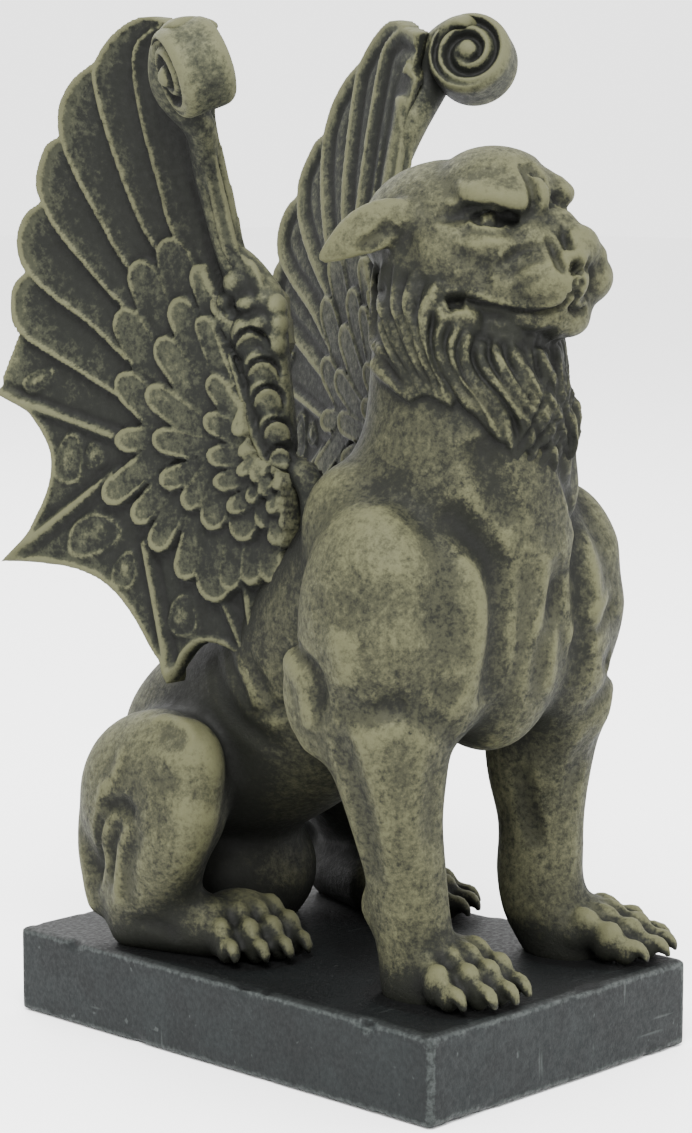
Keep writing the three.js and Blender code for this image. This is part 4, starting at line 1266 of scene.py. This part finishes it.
# %% Materials
def material(name, group, bump, distance, **given):
    made = bpy.data.materials.new(name)
    made.use_nodes = True
    tree = made.node_tree
    shader = tree.nodes['Principled BSDF']
    node = tree.nodes.new('ShaderNodeGroup')
    node.node_tree = group
    for title, value in given.items():
        node.inputs[title.replace("_", " ")].default_value = value
    tree.links.new(node.outputs["colour"], shader.inputs['Base Color'])
    tree.links.new(node.outputs["roughness"], shader.inputs['Roughness'])
    shader.inputs['Specular IOR Level'].default_value = 0.14
    raised = tree.nodes.new('ShaderNodeBump')
    raised.inputs['Strength'].default_value = bump
    raised.inputs['Distance'].default_value = distance * mm
    tree.links.new(node.outputs["height"], raised.inputs['Height'])
    tree.links.new(raised.outputs['Normal'], shader.inputs['Normal'])
    return made

resin_body = material("aged_resin_body", patina, 0.5, 0.35, wear=0.42, worn_ridges=0.6,
                      dark=(0.0046, 0.0051, 0.003, 1), middle=(0.0182, 0.0186, 0.0097, 1),
                      rubbed=(0.053, 0.053, 0.0262, 1))
resin_wings = material("aged_resin_wings", patina, 0.45, 0.3, wear=0.46, worn_ridges=0.75,
                       dark=(0.004, 0.0046, 0.0031, 1), middle=(0.0172, 0.0184, 0.0106, 1),
                       rubbed=(0.058, 0.0585, 0.0305, 1))
slate_skin = material("slate_plinth", slate, 0.4, 0.3, worn=1.0)
for piece, skin in zip(pieces, (resin_body, resin_body, resin_wings, resin_wings, slate_skin)):
    piece.data.materials.clear()
    piece.data.materials.append(skin)
    chosen(piece)
    bpy.ops.object.shade_smooth()
# The whole top is darkened at least this much, and fully near the paws and the haunches: stain, with
# painted shadow around the figure.
x, y = points_of(plinth)[:, :2].T / mm
gap = np.full(len(x), 1e9)
for stain_x, stain_y, wide, deep in ((-18, -51, 13, 13), (34, -50, 13, 13), (-24, 12, 14, 12),
                                     (31, 8, 13, 12), (-33, 38, 10, 12), (33, 38, 10, 12)):
    gap = np.minimum(gap, np.hypot((x - stain_x) / wide, (y - stain_y) / deep))
stored(plinth, "stain_and_painted_shadow", np.clip(1.75 - gap, 0.7, 1) * (normals_of(plinth)[:, 2] > 0.7))
print("three materials are on", len(pieces), "pieces")

# %% [markdown]
# A pale floor and soft lamps, as in a catalogue's studio: a strong lamp above on the camera's side,
# a weak one to its right, another behind the object, and an even pale surround.

# %% Studio
bpy.ops.mesh.primitive_plane_add(size=8, location=(0, 0, 0))
floor = bpy.context.object
floor.name = "floor"
floor_skin = bpy.data.materials.new("pale_floor")
floor_skin.use_nodes = True
floor_shader = floor_skin.node_tree.nodes['Principled BSDF']
floor_shader.inputs['Base Color'].default_value = (0.93, 0.93, 0.93, 1)
floor_shader.inputs['Roughness'].default_value = 0.7
floor.data.materials.append(floor_skin)
surround = bpy.data.worlds.new("surround")
surround.use_nodes = True
glow = surround.node_tree.nodes['Background']
glow.inputs['Color'].default_value = (1, 1, 1, 1)
glow.inputs['Strength'].default_value = 2.8
bpy.context.scene.world = surround
look_at = Vector((0, 0, 0.12))
for name, place, width, power in (
    ("main_lamp", (-0.7, -0.6, 1.3), 0.6, 66),
    ("side_lamp", (0.9, -0.9, 0.7), 0.9, 12),
    ("back_lamp", (0.2, 1.1, 1.0), 0.8, 14),
):
    bpy.ops.object.light_add(type='AREA', location=place)
    lamp = bpy.context.object
    lamp.name = name
    lamp.data.energy = power
    lamp.data.size = width
    lamp.rotation_euler = (look_at - Vector(place)).to_track_quat('-Z', 'Y').to_euler()
print("the studio has three lamps")

# %% [markdown]
# Every piece rides on the one rigid body, and stands in for its solid.

# %% Finish
for piece, node in ((body, "figure"), (beast_head, "figure"), (right_wing, "figure"),
                    (left_wing, "figure"), (plinth, "plinth")):
    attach(piece, "root")
    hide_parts(node)
bpy.ops.object.select_all(action='DESELECT')
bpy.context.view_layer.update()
for piece in pieces:
    print(piece.name, "has", sum(len(face.vertices) - 2 for face in piece.data.polygons), "triangles")
